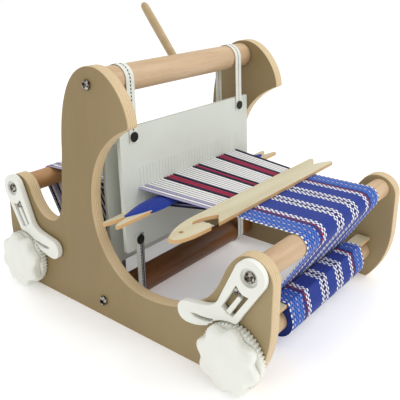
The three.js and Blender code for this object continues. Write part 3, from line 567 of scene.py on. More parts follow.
# ---------- side panels ----------
def panel_outline():
    edge, top, head = EDGE, TOP, FRONT_BEAM[1] - 7.5
    radius, sill = 24.5, 50.3
    head_y = edge - radius
    wrist_back, wrist_front = 2.72, 0.62
    o = Outline(28 - edge, 0).line(edge - 28, 0)
    o.curve((edge - 13, 16), (edge, 42), (edge, head - 43.5)).line(edge, head)
    o.arc(head_y, head, radius, 0, wrist_back)
    o.curve((edge - 54, head - 7.5), (edge - 66, head - 21.5), (edge - 82, head - 21.5))
    o.curve((edge - 99, head - 21.5), (94, head - 7.5), (92.5, head + 12.5)).line(87, top - 102.5)
    o.curve((86.5, top - 56.5), (76, top), (32, top)).curve((6, top), (-19, top - 32.5), (-21.5, top - 56.5))
    o.bow((-22, top - 60), (-19, top - 61))
    o.curve((14, top - 75.5), (39, top - 104.5), (39, head + 23.5))
    o.curve((39, head - 27.5), (4, sill), (-42, sill), 28)
    o.curve((102 - edge, sill), (70 - edge, head - 41.5), (57 - edge, head - 8.5))
    o.curve((52 - edge, head + 4.5), (49 - edge, head + 8.5),
            (-head_y + radius * math.cos(wrist_front), head + radius * math.sin(wrist_front)))
    o.arc(-head_y, head, radius, wrist_front, math.pi)
    o.line(-edge, head - 43.5).curve((-edge, 42), (13 - edge, 16), (28 - edge, 0))
    return o


def side_panels():
    for side, name in ((-1, "left"), (1, "right")):
        x0 = MIDDLE - OUTER if side < 0 else MIDDLE + INNER
        winding = JOURNAL + GAP if side < 0 else SCREW_HOLE
        holes = [circle(*place, SCREW_HOLE) for place in (FRONT_BEAM, BACK_BEAM, TOP_ROLLER, LOWER_ROLLER)]
        holes += [circle(*place, winding) for place in (CLOTH_ROLLER, WARP_ROLLER)]
        panel = plate(f"{name}_panel", [panel_outline(), *holes], x0, x0 + OUTER - INNER, 1.1)
        piece(panel, "frame", [f"{name}_side_panel"], [PLY])


# ---------- turned wood and screws ----------
def screw(name, side, place, head):
    """A domed socket screw; head is how far out its seat lies from the middle plane."""
    x = MIDDLE + side * head
    profile = [(x - side * 8, 0), (x - side * 8, 2.9), (x, 2.9), (x, 5.5), (x + side * 0.4, 5.8),
               (x + side * 1.8, 5.8)]
    for i in range(1, 7):
        a = math.pi / 2 * i / 6
        profile.append((x + side * (1.8 + 2.2 * math.sin(a)), 5.8 * math.cos(a) * 0.72 + 1.62))
    profile += [(x + side * 3.7, 1.2), (x + side * 3.7, 0)]
    made = turned(name + "_visual", profile, *place, 48)
    bm = bmesh.new()
    bmesh.ops.create_cone(bm, cap_ends=True, segments=6, radius1=3.1 * MM, radius2=3.1 * MM, depth=5 * MM)
    turn = shift(x + side * 4, *place) @ Matrix.Rotation(math.pi / 2, 4, "Y")
    bmesh.ops.transform(bm, matrix=turn, verts=bm.verts)
    mesh = bpy.data.meshes.new("socket")
    bm.to_mesh(mesh)
    bm.free()
    socket = bpy.data.objects.new("socket", mesh)
    bpy.context.scene.collection.objects.link(socket)
    carve(made, socket)
    made.data.set_sharp_from_angle(angle=math.radians(35))
    piece(made, "frame", [name], [STEEL])


def screws():
    seat = OUTER + WHEEL_GAP + WHEEL_WIDTH - RECESS + GAP  # the pawls' screws sit in their recesses
    for side, label in ((-1, "left"), (1, "right")):
        for place, node in ((FRONT_BEAM, "front_beam"), (BACK_BEAM, "back_beam")):
            screw(f"{label}_{node}_screw", side, place, seat if side < 0 else OUTER + GAP)
        for place, node in ((TOP_ROLLER, "top_roller"), (LOWER_ROLLER, "lower_roller")):
            screw(f"{label}_{node}_screw", side, place, OUTER + GAP)
    screw("cloth_roller_screw", 1, CLOTH_ROLLER, OUTER + GAP)
    screw("warp_roller_screw", 1, WARP_ROLLER, OUTER + GAP)


def dowel(node, body, place, radius, material):
    half = high("front_beam")[0] - MIDDLE
    made = turned(node + "_visual", rod(MIDDLE - half, MIDDLE + half, radius), *place)
    piece(made, body, [node], [material])


def handle():
    """The shed handle: a slim stick plugged into the top roller, worn a little towards its tip."""
    length = 96
    profile = [(-2.5, 0), (-2.5, 5.2), (30, 5.15), (60, 5.3), (length - 8, 5.0)]
    profile += [(length - 8 + 8 * math.sin(a), 1.2 + 3.8 * math.cos(a)) for a in (0.3, 0.6, 0.9, 1.2, 1.45)]
    profile.append((length, 0))
    stick = turned("handle_visual", profile, 0, 0, 48)
    along = Vector((0, math.sin(HANDLE_LEAN), math.cos(HANDLE_LEAN)))  # up the stick, which leans back
    across = Vector((1, 0, 0))
    stick.data.transform(shift(MIDDLE, *TOP_ROLLER) @ facing(along, across, along.cross(across)))
    piece(stick, "shed_roller", ["handle_stick"], [PALE_BEECH])


def winding_roller(label, place):
    """A dowel with a journal that passes through the panel into its knob."""
    half = high("front_beam")[0] - MIDDLE
    end = MIDDLE - KNOB_OUTER + 5
    start = [(end, 0), (end, JOURNAL), (MIDDLE - half, JOURNAL)]
    body = rod(MIDDLE - half, MIDDLE + half, WIND_RADIUS)
    made = turned(f"{label}_roller_visual", start + body, *place)
    piece(made, f"{label}_winder", [f"{label}_roller"], [BEECH])


# ---------- ratchet knobs ----------
RATCHET_RADIUS = 35
TEETH = 48
LOBES = 8


def ratchet_outline():
    root = RATCHET_RADIUS - 2.4
    o = None
    quarter = math.pi / TEETH / 2
    for i in range(TEETH):
        middle = (i + 0.5) * 2 * math.pi / TEETH + math.pi / 2
        for turn, radius in ((-2 * quarter, root), (-quarter / 2, RATCHET_RADIUS),
                             (quarter / 2, RATCHET_RADIUS)):
            u, v = radius * math.cos(middle + turn), radius * math.sin(middle + turn)
            o = o.line(u, v) if o else Outline(u, v)
    return o


def ratchet_knob(label, place, turn):
    """A thick lobed grip with a soft crown, moulded in one with a fine-toothed wheel."""
    wheel = plate(f"{label}_ratchet", [ratchet_outline(), circle(0, 0, JOURNAL + GAP)],
                  WHEEL_FACE, WHEEL_BACK, 0.35)
    wheel.data.transform(shift(0, *place))
    piece(wheel, f"{label}_winder", [f"{label}_knob"], [WHITE])

    def lobe(a):
        wave = math.cos(LOBES * (a - turn))
        return (wave if wave > 0 else wave * 1.25) * 2.6 / 33

    inner, outer = WHEEL_FACE, MIDDLE - KNOB_OUTER
    profile = [(inner, 0), (inner, 30.5, 0.8), (inner - 1.2, 32.2, 0.95), (inner - 3, 33, 1)]
    profile.append((outer + 6.5, 33, 1))
    crown = 10
    for i in range(1, crown + 1):
        a = math.pi / 2 * i / crown
        profile.append((outer + 6.5 - 4.6 * math.sin(a), 33 - 6.5 * (1 - math.cos(a)), 1 - 0.25 * i / crown))
    for i in range(1, 9):
        left = 1 - i / 8
        profile.append((outer + 1.9 - 1.9 * math.sin(math.pi / 2 * i / 8), 26.5 * left, 0.75 * left))
    grip = turned(f"{label}_grip", profile, *place, 160, lobe)
    grip.data.set_sharp_from_angle(angle=math.radians(60))
    piece(grip, f"{label}_winder", [f"{label}_knob"], [WHITE])


# ---------- pawls ----------
PAWL_REACH = (FRONT_BEAM[0] - CLOTH_ROLLER[0], CLOTH_ROLLER[1] - FRONT_BEAM[1])  # y taken inwards
STEM = Vector((0.525, -0.851))


def stem_point(u, n):
    return (STEM.x * u - STEM.y * n, STEM.y * u + STEM.x * n)


def polygon(points):
    o = Outline(*points[0])
    for p in points[1:]:
        o.line(*p)
    return o


def pawl_outline():
    to_y, to_z = -PAWL_REACH[0], PAWL_REACH[1]
    hollow = RATCHET_RADIUS + 2.2
    head = math.radians(25)
    o = Outline(17 * math.cos(head), 17 * math.sin(head)).arc(0, 0, 17, head, math.radians(206))
    o.line(9, -47).bow((10.5, -52), (to_y - 3.2, to_z + hollow - 0.1))
    o.arc(to_y, to_z, hollow, math.radians(90), math.radians(37), 14)
    o.curve((54, -72), (62, -75), (72, -75)).curve((80, -75), (84.5, -70), (84.5, -63))
    o.curve((84.5, -55), (78, -51), (70, -50.5)).line(56, -48)
    return o.curve((44, -46), (37, -43), (33, -32))


def pawl(label, place, mirror):
    face, back = WHEEL_FACE, WHEEL_BACK
    start, end = 21.5, 50  # of the window, along the stem
    window = polygon([stem_point(start - 3.5, 5.3), stem_point(start - 1.5, -1), stem_point(start - 1, -5),
                      stem_point(start - 4, -11), stem_point(end - 1, -10.5), stem_point(end + 1.5, -4),
                      stem_point(end, 4)])
    groove = polygon([(39.5, -58.6), (41, -62.5), (48, -64.6), (56, -65.6), (63, -65), (68, -62.5),
                      (62, -61.4), (54, -61.2), (46, -60.2)])
    outlines = [pawl_outline(), circle(0, 0, SCREW_HOLE), window, groove]
    body = plate(f"{label}_pawl_body", outlines, face, back, 0.9)
    bottom = face + RECESS
    recess = turned("recess", [(face - 1, 0), (face - 1, 10.2), (face + 1, 9.2), (bottom, 8.8), (bottom, 0)],
                    0, 0, 64)
    carve(body, recess)
    body.data.set_sharp_from_angle(angle=math.radians(40))
    tongue = plate(f"{label}_pawl_tongue", [polygon([
        stem_point(start + 5, -2), stem_point(start + 4, -4.3), stem_point(start + 5, -6.6),
        stem_point(end + 1, -6.9), stem_point(end + 1, -1.7)])], face + 1.5, back - 0.5, 0.6)
    for made, node in ((body, f"{label}_pawl"), (tongue, f"{label}_pawl_spring")):
        flip = Matrix.Scale(-1, 4, (0, 1, 0)) if mirror else Matrix.Identity(4)
        made.data.transform(shift(0, *place) @ flip)
        if mirror:
            made.data.flip_normals()
        piece(made, None if made == tongue else f"{label}_pawl", [node], [WHITE])

    def world(u, n):
        y, z = stem_point(u, n)
        return Vector((face, place[0] + (-y if mirror else y), place[1] + z)) * MM

    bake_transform(tongue)
    pin_y = place[0] + (-14 if mirror else 14)
    sunk, seat = MIDDLE - OUTER + 4, MIDDLE - OUTER - GAP
    profile = [(sunk, 0), (sunk, 1.3), (seat, 1.3), (seat, 3.4)]
    profile += [(face + 2, 3.9), (face + 1.3, 3.7), (face + 0.8, 2.7), (face + 0.6, 0)]
    pin = turned(f"{label}_pin_visual", profile, pin_y, place[1] - 19, 32)
    piece(pin, "frame", [f"{label}_pawl_pin"], [STEEL])


# ---------- heddle boards and their studs ----------
def in_harness(obj):
    """Turns a shape drawn with x across, y up and z along the normal into the harness plane."""
    turn = facing(Vector((1, 0, 0)), UP_THE_BOARDS, OFF_THE_BOARDS)
    obj.data.transform(shift(MIDDLE, *LOWER_ROLLER) @ turn)
    if turn.determinant() < 0:
        obj.data.flip_normals()
    return obj


def box_outline(x0, x1, y0, y1, corner):
    o = Outline(x1, y0 + corner)
    for x, y, start in ((x1 - corner, y1 - corner, 0), (x0 + corner, y1 - corner, 1),
                        (x0 + corner, y0 + corner, 2), (x1 - corner, y0 + corner, 3)):
        o.arc(x, y, corner, start * math.pi / 2, (start + 1) * math.pi / 2, 4)
    return o


def eye_places(side):
    return [(i - (EYES - 1) / 2) * EYE_PITCH + side * EYE_PITCH / 4 for i in range(EYES)]


def heddle_board(label):
    side, centre = BOARDS[label]
    outer, inner = side * ROLLER_RADIUS, side * (ROLLER_RADIUS - BOARD_THICK)
    half = BOARD_WIDTH / 2
    outlines = [box_outline(-half, half, centre - BOARD_HEIGHT / 2, centre + BOARD_HEIGHT / 2, 2)]
    for x in eye_places(side):
        outlines.append(circle(x, centre, 1.3, 10))
        slot_x = x - side * EYE_PITCH / 2
        outlines.append(box_outline(slot_x - 0.14, slot_x + 0.14, centre - 24, centre + 24, 0.12))
    board = plate(f"{label}_board_visual", outlines, min(outer, inner), max(outer, inner), 0.1, "Z")
    piece(in_harness(board), f"{label}_board", [f"{label}_heddle_board"], [BOARD])
    for x, word in ((-STUD_SPAN / 2, "left"), (STUD_SPAN / 2, "right")):
        for rise, level in ((STUD_RISE, "upper"), (-STUD_RISE, "lower")):
            stud(f"{label}_{level}_{word}_rivet", f"{label}_board", side, x, centre + rise)


def stud(node, body, side, x, up):
    """A snap stud: a domed cap with a rolled rim and a small dimple."""
    face = side * (STRAP_MID + 0.9)
    section = ((-2.5, 0), (-2.5, 2), (0, 2), (0, 5.4), (0.5, 5.9), (1.1, 5.8), (1.5, 5.2), (1.3, 4.3),
               (1.7, 2.9), (1.8, 1.6), (1.4, 0.9), (1.4, 0))
    profile = [(face + side * out, radius) for out, radius in section]
    cap = turned(node + "_visual", profile, 0, 0, 40)
    turn = facing(OFF_THE_BOARDS, UP_THE_BOARDS, OFF_THE_BOARDS.cross(UP_THE_BOARDS))
    cap.data.transform(shift(MIDDLE + x, *harness(0, up)) @ turn)
    piece(cap, body, [node], [RIVET])


# ---------- straps ----------
STRAP_WIDTH = 12.5
STRAP_THICK = 1.1
STRAP_COLOURS = [WEBBING, STITCH, THREADS["N"], THREADS["P"]]
STITCHED, NAVY, PLUM = 1, 2, 3  # their numbers


def distances(points):
    """How far along a line each of its points lies."""
    run = [0.0]
    for a, b in zip(points, points[1:]):
        run.append(run[-1] + (b - a).length)
    return run


def ribbon(name, path, x, width, thick, stripes, dashes):
    """A strap along (y, z) points. stripes are (offset, width, colour number) woven in; dashes are stitched
    lines as (offset, dash, gap, width, colour number)."""
    points = [Vector(p) for p in path]
    normals = []
    for i in range(len(points)):
        way = (points[min(i + 1, len(points) - 1)] - points[max(i - 1, 0)]).normalized()
        normals.append(Vector((-way.y, way.x)))
    verts, faces, numbers = [], [], []
    section = []
    edges = {offset + half for offset, wide, _ in stripes for half in (-wide / 2, wide / 2)}
    for c in sorted({-width / 2, width / 2, *edges}):
        rim = 0.55 if abs(abs(c) - width / 2) < 0.01 else 1
        section.append((c, thick / 2 * rim))
    ring = [(c, h) for c, h in section] + [(c, -h) for c, h in reversed(section)]
    for p, n in zip(points, normals):
        for c, h in ring:
            q = p + n * h
            verts.append((x + c, q.x, q.y))
    size = len(ring)
    colour_of = []
    for k in range(size):
        a, b = ring[k][0], ring[(k + 1) % size][0]
        mid = (a + b) / 2
        colour_of.append(next((s[2] for s in stripes if abs(mid - s[0]) < s[1] / 2), 0))
    for i in range(len(points) - 1):
        faces += band(i * size, (i + 1) * size, size)
        numbers += colour_of
    faces += [tuple(reversed(range(size))), tuple(range(len(verts) - size, len(verts)))]
    numbers += [0, 0]
    run = distances(points)

    def at(distance):
        i = max(k for k in range(len(run) - 1) if run[k] <= distance)
        t = (distance - run[i]) / (run[i + 1] - run[i])
        return points[i].lerp(points[i + 1], t), normals[i].lerp(normals[i + 1], t).normalized()

    for offset, dash, gap, dash_width, number in dashes:
        for side in (1, -1):
            s = 1.5
            while s + dash < run[-1] - 1:
                first = len(verts)
                for d, lift in ((0, 0.0), (dash * 0.3, 0.28), (dash * 0.7, 0.28), (dash, 0.0)):
                    p, n = at(s + d)
                    for c, more in ((-dash_width / 2, -0.1), (0, lift), (dash_width / 2, -0.1)):
                        q = p + n * side * (thick / 2 + more)
                        verts.append((x + offset + c, q.x, q.y))
                for r in range(3):
                    for c in range(2):
                        a = first + r * 3 + c
                        faces.append((a, a + 1, a + 4, a + 3))
                        numbers.append(number)
                s += dash + gap
    return as_mesh(name, verts, faces, numbers, smooth=50)


def straps():
    """Each strap is hung from a stud of each board and passes round a roller."""
    tail = 7
    for word, x in (("left", -STUD_SPAN / 2), ("right", STUD_SPAN / 2)):
        for level, rise, roller_up in (("upper", STUD_RISE, SPAN), ("lower", -STUD_RISE, 0)):
            node = f"{level}_{word}_strap"
            turn = 1 if level == "upper" else -1
            stripes = []
            if node == "lower_left_strap":
                stripes = [(0.6, 0.9, STITCHED), (2.4, 1.5, NAVY), (3.9, 1.1, PLUM), (5.6, 1.0, NAVY)]
            dashes = [(0, 2.6, 1.6, 1.5, STITCHED) if word == "left" else (0, 1.9, 1.1, 1.1, STITCHED)]
            for label in ("front", "back"):
                side, centre = BOARDS[label]
                stud_up = centre + rise
                end = stud_up - turn * tail
                path = [(side * STRAP_MID, end)]
                steps = 26
                path += [(side * STRAP_MID, end + (roller_up - end) * i / steps) for i in range(1, steps)]
                path += [(side * STRAP_MID * math.cos(a), roller_up + turn * STRAP_MID * math.sin(a))
                         for a in (math.pi / 2 * i / 14 for i in range(15))]
                made = ribbon(f"{node}_{label}", [harness(n, u) for n, u in path], MIDDLE + x,
                              STRAP_WIDTH, STRAP_THICK, stripes, dashes)
                piece(made, None, [node], STRAP_COLOURS)
                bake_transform(made)


# ---------- warp threads ----------
THREAD = 0.95
SPREAD = 1.7  # half-width of a thread in the shed, where it lies a little flattened
GAP_SHADE_HALF_WIDTH = 0.6  # half-width of the fine navy thread beside each, a dark thread put in as painted shade in the gaps between threads
# colour of the fine thread beside each: navy throughout, as painted shade in the gaps between threads
GAP_SHADE_COLOURS = {"W": "N", "L": "N", "N": "N", "R": "N", "P": "N"}
RAISED_COLOURS = "LWLWWWWWNRRNWWWWWWNRNWWWWWWNRRNWWWWN"
LOWERED_COLOURS = "NLNWNPNNNPNNPNNWNNNRNNNWNNPNRNNNPNLN"
THREAD_WRAP = BEAM_RADIUS + THREAD + 0.1
BEAM_THREAD = 1.3  # half-width of a thread past the back beam
BEAM_TOP = (BACK_BEAM[0] - 1, BACK_BEAM[1] + THREAD_WRAP)
EYE_POINTS = {label: harness(side * (ROLLER_RADIUS - BOARD_THICK / 2), centre)
              for label, (side, centre) in BOARDS.items()}


def stretch(a, b, steps):
    return [Vector(a).lerp(Vector(b), i / steps) for i in range(steps + 1)]


def warp_colour(i):
    """The colour number of the warp's thread i, raised and lowered in turn."""
    return COLOURS.index((LOWERED_COLOURS if i % 2 else RAISED_COLOURS)[i // 2])


def over_beam(wrap, rise, from_angle, to_angle, steps=18):
    """(y, z) from over the front beam, down and across to the inner side of the roll below it."""
    rolled = ROLL_RADIUS + rise
    (by, bz), (wy, wz) = FRONT_BEAM, CLOTH_ROLLER
    apart = math.hypot(by - wy, bz - wz)
    leave = 270 + math.degrees(math.atan2(wz - bz, wy - by) + math.asin((wrap + rolled) / apart))
    points = []
    for i in range(steps + 1):
        a = math.radians(from_angle + (leave - from_angle) * i / steps)
        points.append((by + wrap * math.cos(a), bz + wrap * math.sin(a)))
    meet = leave - 180
    around = []
    for i in range(7):
        a = math.radians(meet + (to_angle - meet) * i / 6)
        around.append((wy + rolled * math.cos(a), wz + rolled * math.sin(a)))
    straight = [tuple(p) for p in stretch(points[-1], around[0], 12)][1:-1]
    return points + straight + around


def warp_threads():
    width = CLOTH_RIGHT - CLOTH_LEFT
    count = 2 * EYES
    for set_number, (label, body) in enumerate((("front", "front_board"), ("back", "back_board"))):
        side, _ = BOARDS[label]
        eye = EYE_POINTS[label]
        front, rear, colours, radii = [], [], [], []
        letters = RAISED_COLOURS if label == "front" else LOWERED_COLOURS
        for i, x in enumerate(eye_places(side)):
            # each eye carries its thread and a fine navy thread beside it; the navy one is painted shade for
            # the gap between threads
            for beside, letter, radius in ((0, letters[i], SPREAD), (1, GAP_SHADE_COLOURS[letters[i]], GAP_SHADE_HALF_WIDTH)):
                fell_x = CLOTH_LEFT + width * (2 * i + set_number + beside + 0.5) / count
                middle = (MIDDLE + x + beside * EYE_PITCH / 2, *eye)
                front.append(stretch((fell_x, FELL[0] - 1, FELL[1]), middle, 14))
                rear.append(stretch(middle, (middle[0], *BEAM_TOP), 18))
                colours.append(COLOURS.index(letter))
                radii.append(radius)
        height = "raised" if label == "front" else "lowered"
        ahead = tubes(f"{height}_threads_front", front, radii, colours, flat=THREAD / SPREAD)
        behind = tubes(f"{height}_threads_back", rear, radii, colours, flat=THREAD / SPREAD)
        hidden = ["warp_middle_upper"] if label == "front" else ["warp_middle_lower"]
        piece(ahead, None, ["warp_front", *hidden], THREAD_LIST)
        piece(behind, None, ["warp_back", *hidden], THREAD_LIST)
        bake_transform(ahead)
        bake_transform(behind)
    # over the back beam and down to the warp roller
    drop, colours = [], []
    path = over_beam(THREAD_WRAP, THREAD, 88, 20)
    for i in range(count):
        x = MIDDLE + eye_places(1 if i % 2 else -1)[i // 2]
        drop.append([(x, -y, z) for y, z in path])
        colours.append(warp_colour(i))
    made = tubes("beam_threads", drop, [BEAM_THREAD] * count, colours, flat=THREAD / BEAM_THREAD)
    piece(made, "frame", ["warp_back"], THREAD_LIST)
    warp_roll()


def warp_roll():
    """The wound warp: turns of each thread lie side by side, with the end turns slipping down."""
    count = 2 * EYES
    pitch = WARP_WIDTH / count
    left = MIDDLE - WARP_WIDTH / 2
    verts, faces, numbers = [], [], []
    rings = [(left + 0.2, WIND_RADIUS + GAP, 0), (left, ROLL_RADIUS - 2.4, 0)]
    for i in range(count):
        slip = max(0, 3 - min(i, count - 1 - i)) * 0.5
        for k, bulge in ((0.12, 0.35), (0.35, 0.0), (0.65, 0.0), (0.88, 0.35)):
            rings.append((left + (i + k) * pitch, ROLL_RADIUS - slip - bulge, warp_colour(i)))
    rings += [(left + WARP_WIDTH, ROLL_RADIUS - 2.4, 0), (left + WARP_WIDTH - 0.2, WIND_RADIUS + GAP, 0)]
    steps = 72
    for k, (x, radius, number) in enumerate(rings):
        for i in range(steps):
            a = 2 * math.pi * i / steps
            verts.append((x, WARP_ROLLER[0] + radius * math.cos(a), WARP_ROLLER[1] + radius * math.sin(a)))
        if k:
            faces += band((k - 1) * steps, k * steps, steps)
            numbers += [number] * steps
    faces += band((len(rings) - 1) * steps, 0, steps)
    numbers += [0] * steps
    made = as_mesh("wound_warp", verts, faces, numbers, smooth=70)
    piece(made, "warp_winder", ["warp_roll"], THREAD_LIST)


# ---------- woven web ----------
PICK = 3.0
CELL = 3  # points along each side of a crossing
CHECKS = {0.2: "PRWWW", 0.42: "WWWNWWW", 0.63: "WWWNWWW", 0.82: "WWWRP"}
COLUMNS = 2 * EYES


def column_colours():
    """The warp's colour and the weft's, column by column across the web."""
    pairs = []
    for c in range(COLUMNS):
        if c < 11 or c >= COLUMNS - 9:
            pairs.append(("L" if c % 4 == 2 else "S", "B"))
        else:
            pairs.append(("B", "D"))
        for centre, threads in CHECKS.items():
            k = c - round(centre * COLUMNS) + len(threads) // 2
            if 0 <= k < len(threads):
                pairs[-1] = (threads[k], "N" if threads[k] == "P" else "D")
        if c in (0, COLUMNS - 1):
            pairs[-1] = ("W", "B")
    return [(COLOURS.index(a), COLOURS.index(b)) for a, b in pairs]


def float_colour(shades, column, row, side):
    """The colour seen at a crossing: the warp's where it passes over, or else the weft's."""
    return shades[(column + row // CELL + side) % 2]


def weave_height(u, v):
    """How far a crossing stands proud, u and v being places within it from -0.5 to 0.5."""
    return 0.34 * math.cos(math.pi * u) * math.cos(math.pi * v)


def follow(path):
    """A function from distance along (y, z) points to a place and its outward normal."""
    points = [Vector(p) for p in path]
    run = distances(points)

    def at(distance):
        i = max(k for k in range(len(run) - 1) if run[k] <= distance + 1e-9)
        t = min(1, (distance - run[i]) / (run[i + 1] - run[i]))
        way = (points[i + 1] - points[i]).normalized()
        before = (points[i] - points[max(i - 1, 0)]).normalized() if i else way
        after = (points[min(i + 2, len(points) - 1)] - points[i + 1])
        after = after.normalized() if after.length > 0 else way
        way = (before + way).lerp(way + after, t).normalized()
        return points[i].lerp(points[i + 1], t), Vector((way.y, -way.x))

    return at, run[-1]


def web():
    """The woven web, from the fell over the front beam and back to the roll, as a thin closed sheet."""
    path = [(FELL[0], FELL[1])] + over_beam(BEAM_WRAP + 0.1, 0.5, 90, 8, 22)
    at, length = follow(path)
    picks = int(length / PICK)
    rows = picks * CELL + 1
    across = COLUMNS * CELL + 1
    width = CLOTH_RIGHT - CLOTH_LEFT
    shades = column_colours()
    verts, faces, numbers = [], [], []
    for face in (1, -1):
        for r in range(rows):
            place, normal = at(length * r / (rows - 1))
            v = (r % CELL) / CELL - 0.5
            draw = 0.3 * math.sin(r * 0.31)  # the weft pulls the selvedges in and out
            for c in range(across):
                u = (c % CELL) / CELL - 0.5
                lift = SHEET / 2 * 0.7 + weave_height(u, v)
                if c in (0, across - 1) or r in (0, rows - 1):
                    lift = 0.12
                q = place + normal * face * lift
                edge = 2 * c / (across - 1) - 1
                pull = draw * abs(edge) ** 6 * math.copysign(1, edge)
                verts.append((CLOTH_LEFT + width * c / (across - 1) + pull, q.x, q.y))
    size = rows * across
    for side in (0, 1):
        for r in range(rows - 1):
            for c in range(across - 1):
                a = side * size + r * across + c
                quad = (a, a + 1, a + across + 1, a + across)
                faces.append(quad if side else tuple(reversed(quad)))
                numbers.append(float_colour(shades[c // CELL], c // CELL, r, side))
    for r in range(rows - 1):
        for c in (0, across - 1):
            a = r * across + c
            faces.append((a, a + across, a + across + size, a + size))
            numbers.append(shades[min(c // CELL, COLUMNS - 1)][0])
    for c in range(across - 1):
        for r in (0, rows - 1):
            a = r * across + c
            faces.append((a, a + 1, a + 1 + size, a + size))
            numbers.append(shades[c // CELL][0])
    made = as_mesh("web", verts, faces, numbers, smooth=80)
    piece(made, "frame", ["woven_cloth"], THREAD_LIST)


def roll_outline():
    """(y, z) round the wound web: a circle, and the flat where its last turns pass over the stick."""
    stick_low, stick_high = low("apron_stick"), high("apron_stick")
    cover = 1.2
    up = stick_high[2] + cover - CLOTH_ROLLER[1]
    inner = stick_high[1] + cover - CLOTH_ROLLER[0]
    outer = stick_low[1] - cover - CLOTH_ROLLER[0]

    def leave(across, side):
        return math.atan2(up, across) - side * math.acos(ROLL_RADIUS / math.hypot(across, up))

    first, last = leave(outer, -1) - 2 * math.pi, leave(inner, 1)
    angles = [first + (last - first) * i / 60 for i in range(61)]
    points = [(ROLL_RADIUS * math.cos(a), ROLL_RADIUS * math.sin(a)) for a in angles]
    points += [(inner + 0.35, up - 1.2), (inner - 0.3, up - 0.3), (inner - 1.2, up), (outer + 1.2, up),
               (outer + 0.3, up - 0.3), (outer - 0.35, up - 1.2), points[0]]
    return [(CLOTH_ROLLER[0] + y, CLOTH_ROLLER[1] + z) for y, z in points]


def cloth_roll():
    """Wound web: the weave runs round it, its ends show the turns, and it stands up over the stick."""
    at, length = follow(roll_outline())
    steps = int(length / PICK) // 2 * 2 * CELL
    across = COLUMNS * CELL + 1
    width = CLOTH_RIGHT - CLOTH_LEFT
    shades = column_colours()
    hub = Vector(CLOTH_ROLLER)
    turns = 7
    end = []
    for k in range(turns):
        for t, out in ((0.0, 0.6), (0.3, 0.0), (0.7, 0.0)):
            end.append((out, (k + t) / turns))
    rings = [(CLOTH_LEFT + out, share, None) for out, share in end]
    rings += [(CLOTH_LEFT + width * c / (across - 1), 1, c) for c in range(across)]
    rings += [(CLOTH_RIGHT - out, share, None) for out, share in reversed(end)]
    rim = []
    for i in range(steps):
        place, normal = at(length * i / steps)
        rim.append((place, -normal, hub + (place - hub).normalized() * (WIND_RADIUS + GAP)))
    verts, faces, numbers = [], [], []
    for k, (x, share, column) in enumerate(rings):
        for i, (place, normal, bore) in enumerate(rim):
            q = bore.lerp(place - normal * 0.3, share)
            if column is not None and column not in (0, across - 1):
                q = q + normal * weave_height((column % CELL) / CELL - 0.5, (i % CELL) / CELL - 0.5)
            verts.append((x, q.x, q.y))
            if k:
                if column in (None, 0):
                    numbers.append(COLOURS.index("D" if (k // 3) % 2 else "B"))
                else:
                    thread = (column - 1) // CELL
                    numbers.append(float_colour(shades[thread], thread, i, 0))
        if k:
            faces += band((k - 1) * steps, k * steps, steps)
    faces += band((len(rings) - 1) * steps, 0, steps)
    numbers += [COLOURS.index("D")] * steps
    made = as_mesh("wound_web", verts, faces, numbers, smooth=80)
    piece(made, "cloth_winder", ["cloth_roll"], THREAD_LIST)
    (x0, y0, z0), (x1, y1, z1) = low("apron_stick"), high("apron_stick")
    stick = plate("apron_stick_visual", [box_outline(x0, x1, y0, y1, 1.5)], z0, z1, 0.8, "Z")
    piece(stick, "cloth_winder", ["apron_stick"], [BIRCH])


# ---------- shuttles ----------
SHUTTLE_THICK = 4.6
SHUTTLE_AHEAD = 19.5  # of the wound shuttle, from the front board
SHUTTLE_LEFT = 12  # of the middle
SHUTTLE_SKEW = math.radians(1.7)


def front_shuttle():
    """A stick shuttle with a pointed hook at one end and an open fork at the other."""
    half, w = 161, 15.5
    o = Outline(-half, -w * 0.35).curve((-half + 4, -w * 0.9), (-half + 30, -w), (-half + 49, -w))
    o.line(-half + 55, -w * 0.55)
    o.curve((-half + 50, 0), (-half + 46, w * 0.15), (-half + 40, w * 0.18)).line(-half + 46, w * 0.42)
    o.curve((-half + 62, w * 0.4), (-half + 70, w * 0.1), (-half + 78, -w * 0.2)).line(-half + 70, -w * 0.55)
    o.line(-half + 62, -w).line(half - 6, -w).bow((half, -w), (half - 1, -w * 0.72))
    o.curve((half - 14, -w * 0.2), (half - 24, 0), (half - 30, w * 0.06))
    o.curve((half - 20, w * 0.3), (half - 10, w * 0.5), (half - 7, w * 0.78))
    o.bow((half - 8, w), (half - 14, w)).line(-half + 60, w)
    o.curve((-half + 30, w), (-half + 12, w * 0.5), (-half, w * 0.05))
    made = plate("hook_shuttle", [o, circle(-half + 19, 0, 2.4)], 0, SHUTTLE_THICK, 0.7, "Z")
    (x0, y0, z0), (x1, y1, _) = low("front_shuttle"), high("front_shuttle")
    made.data.transform(shift((x0 + x1) / 2, (y0 + y1) / 2, z0))
    piece(made, "front_shuttle", ["front_shuttle"], [BIRCH])


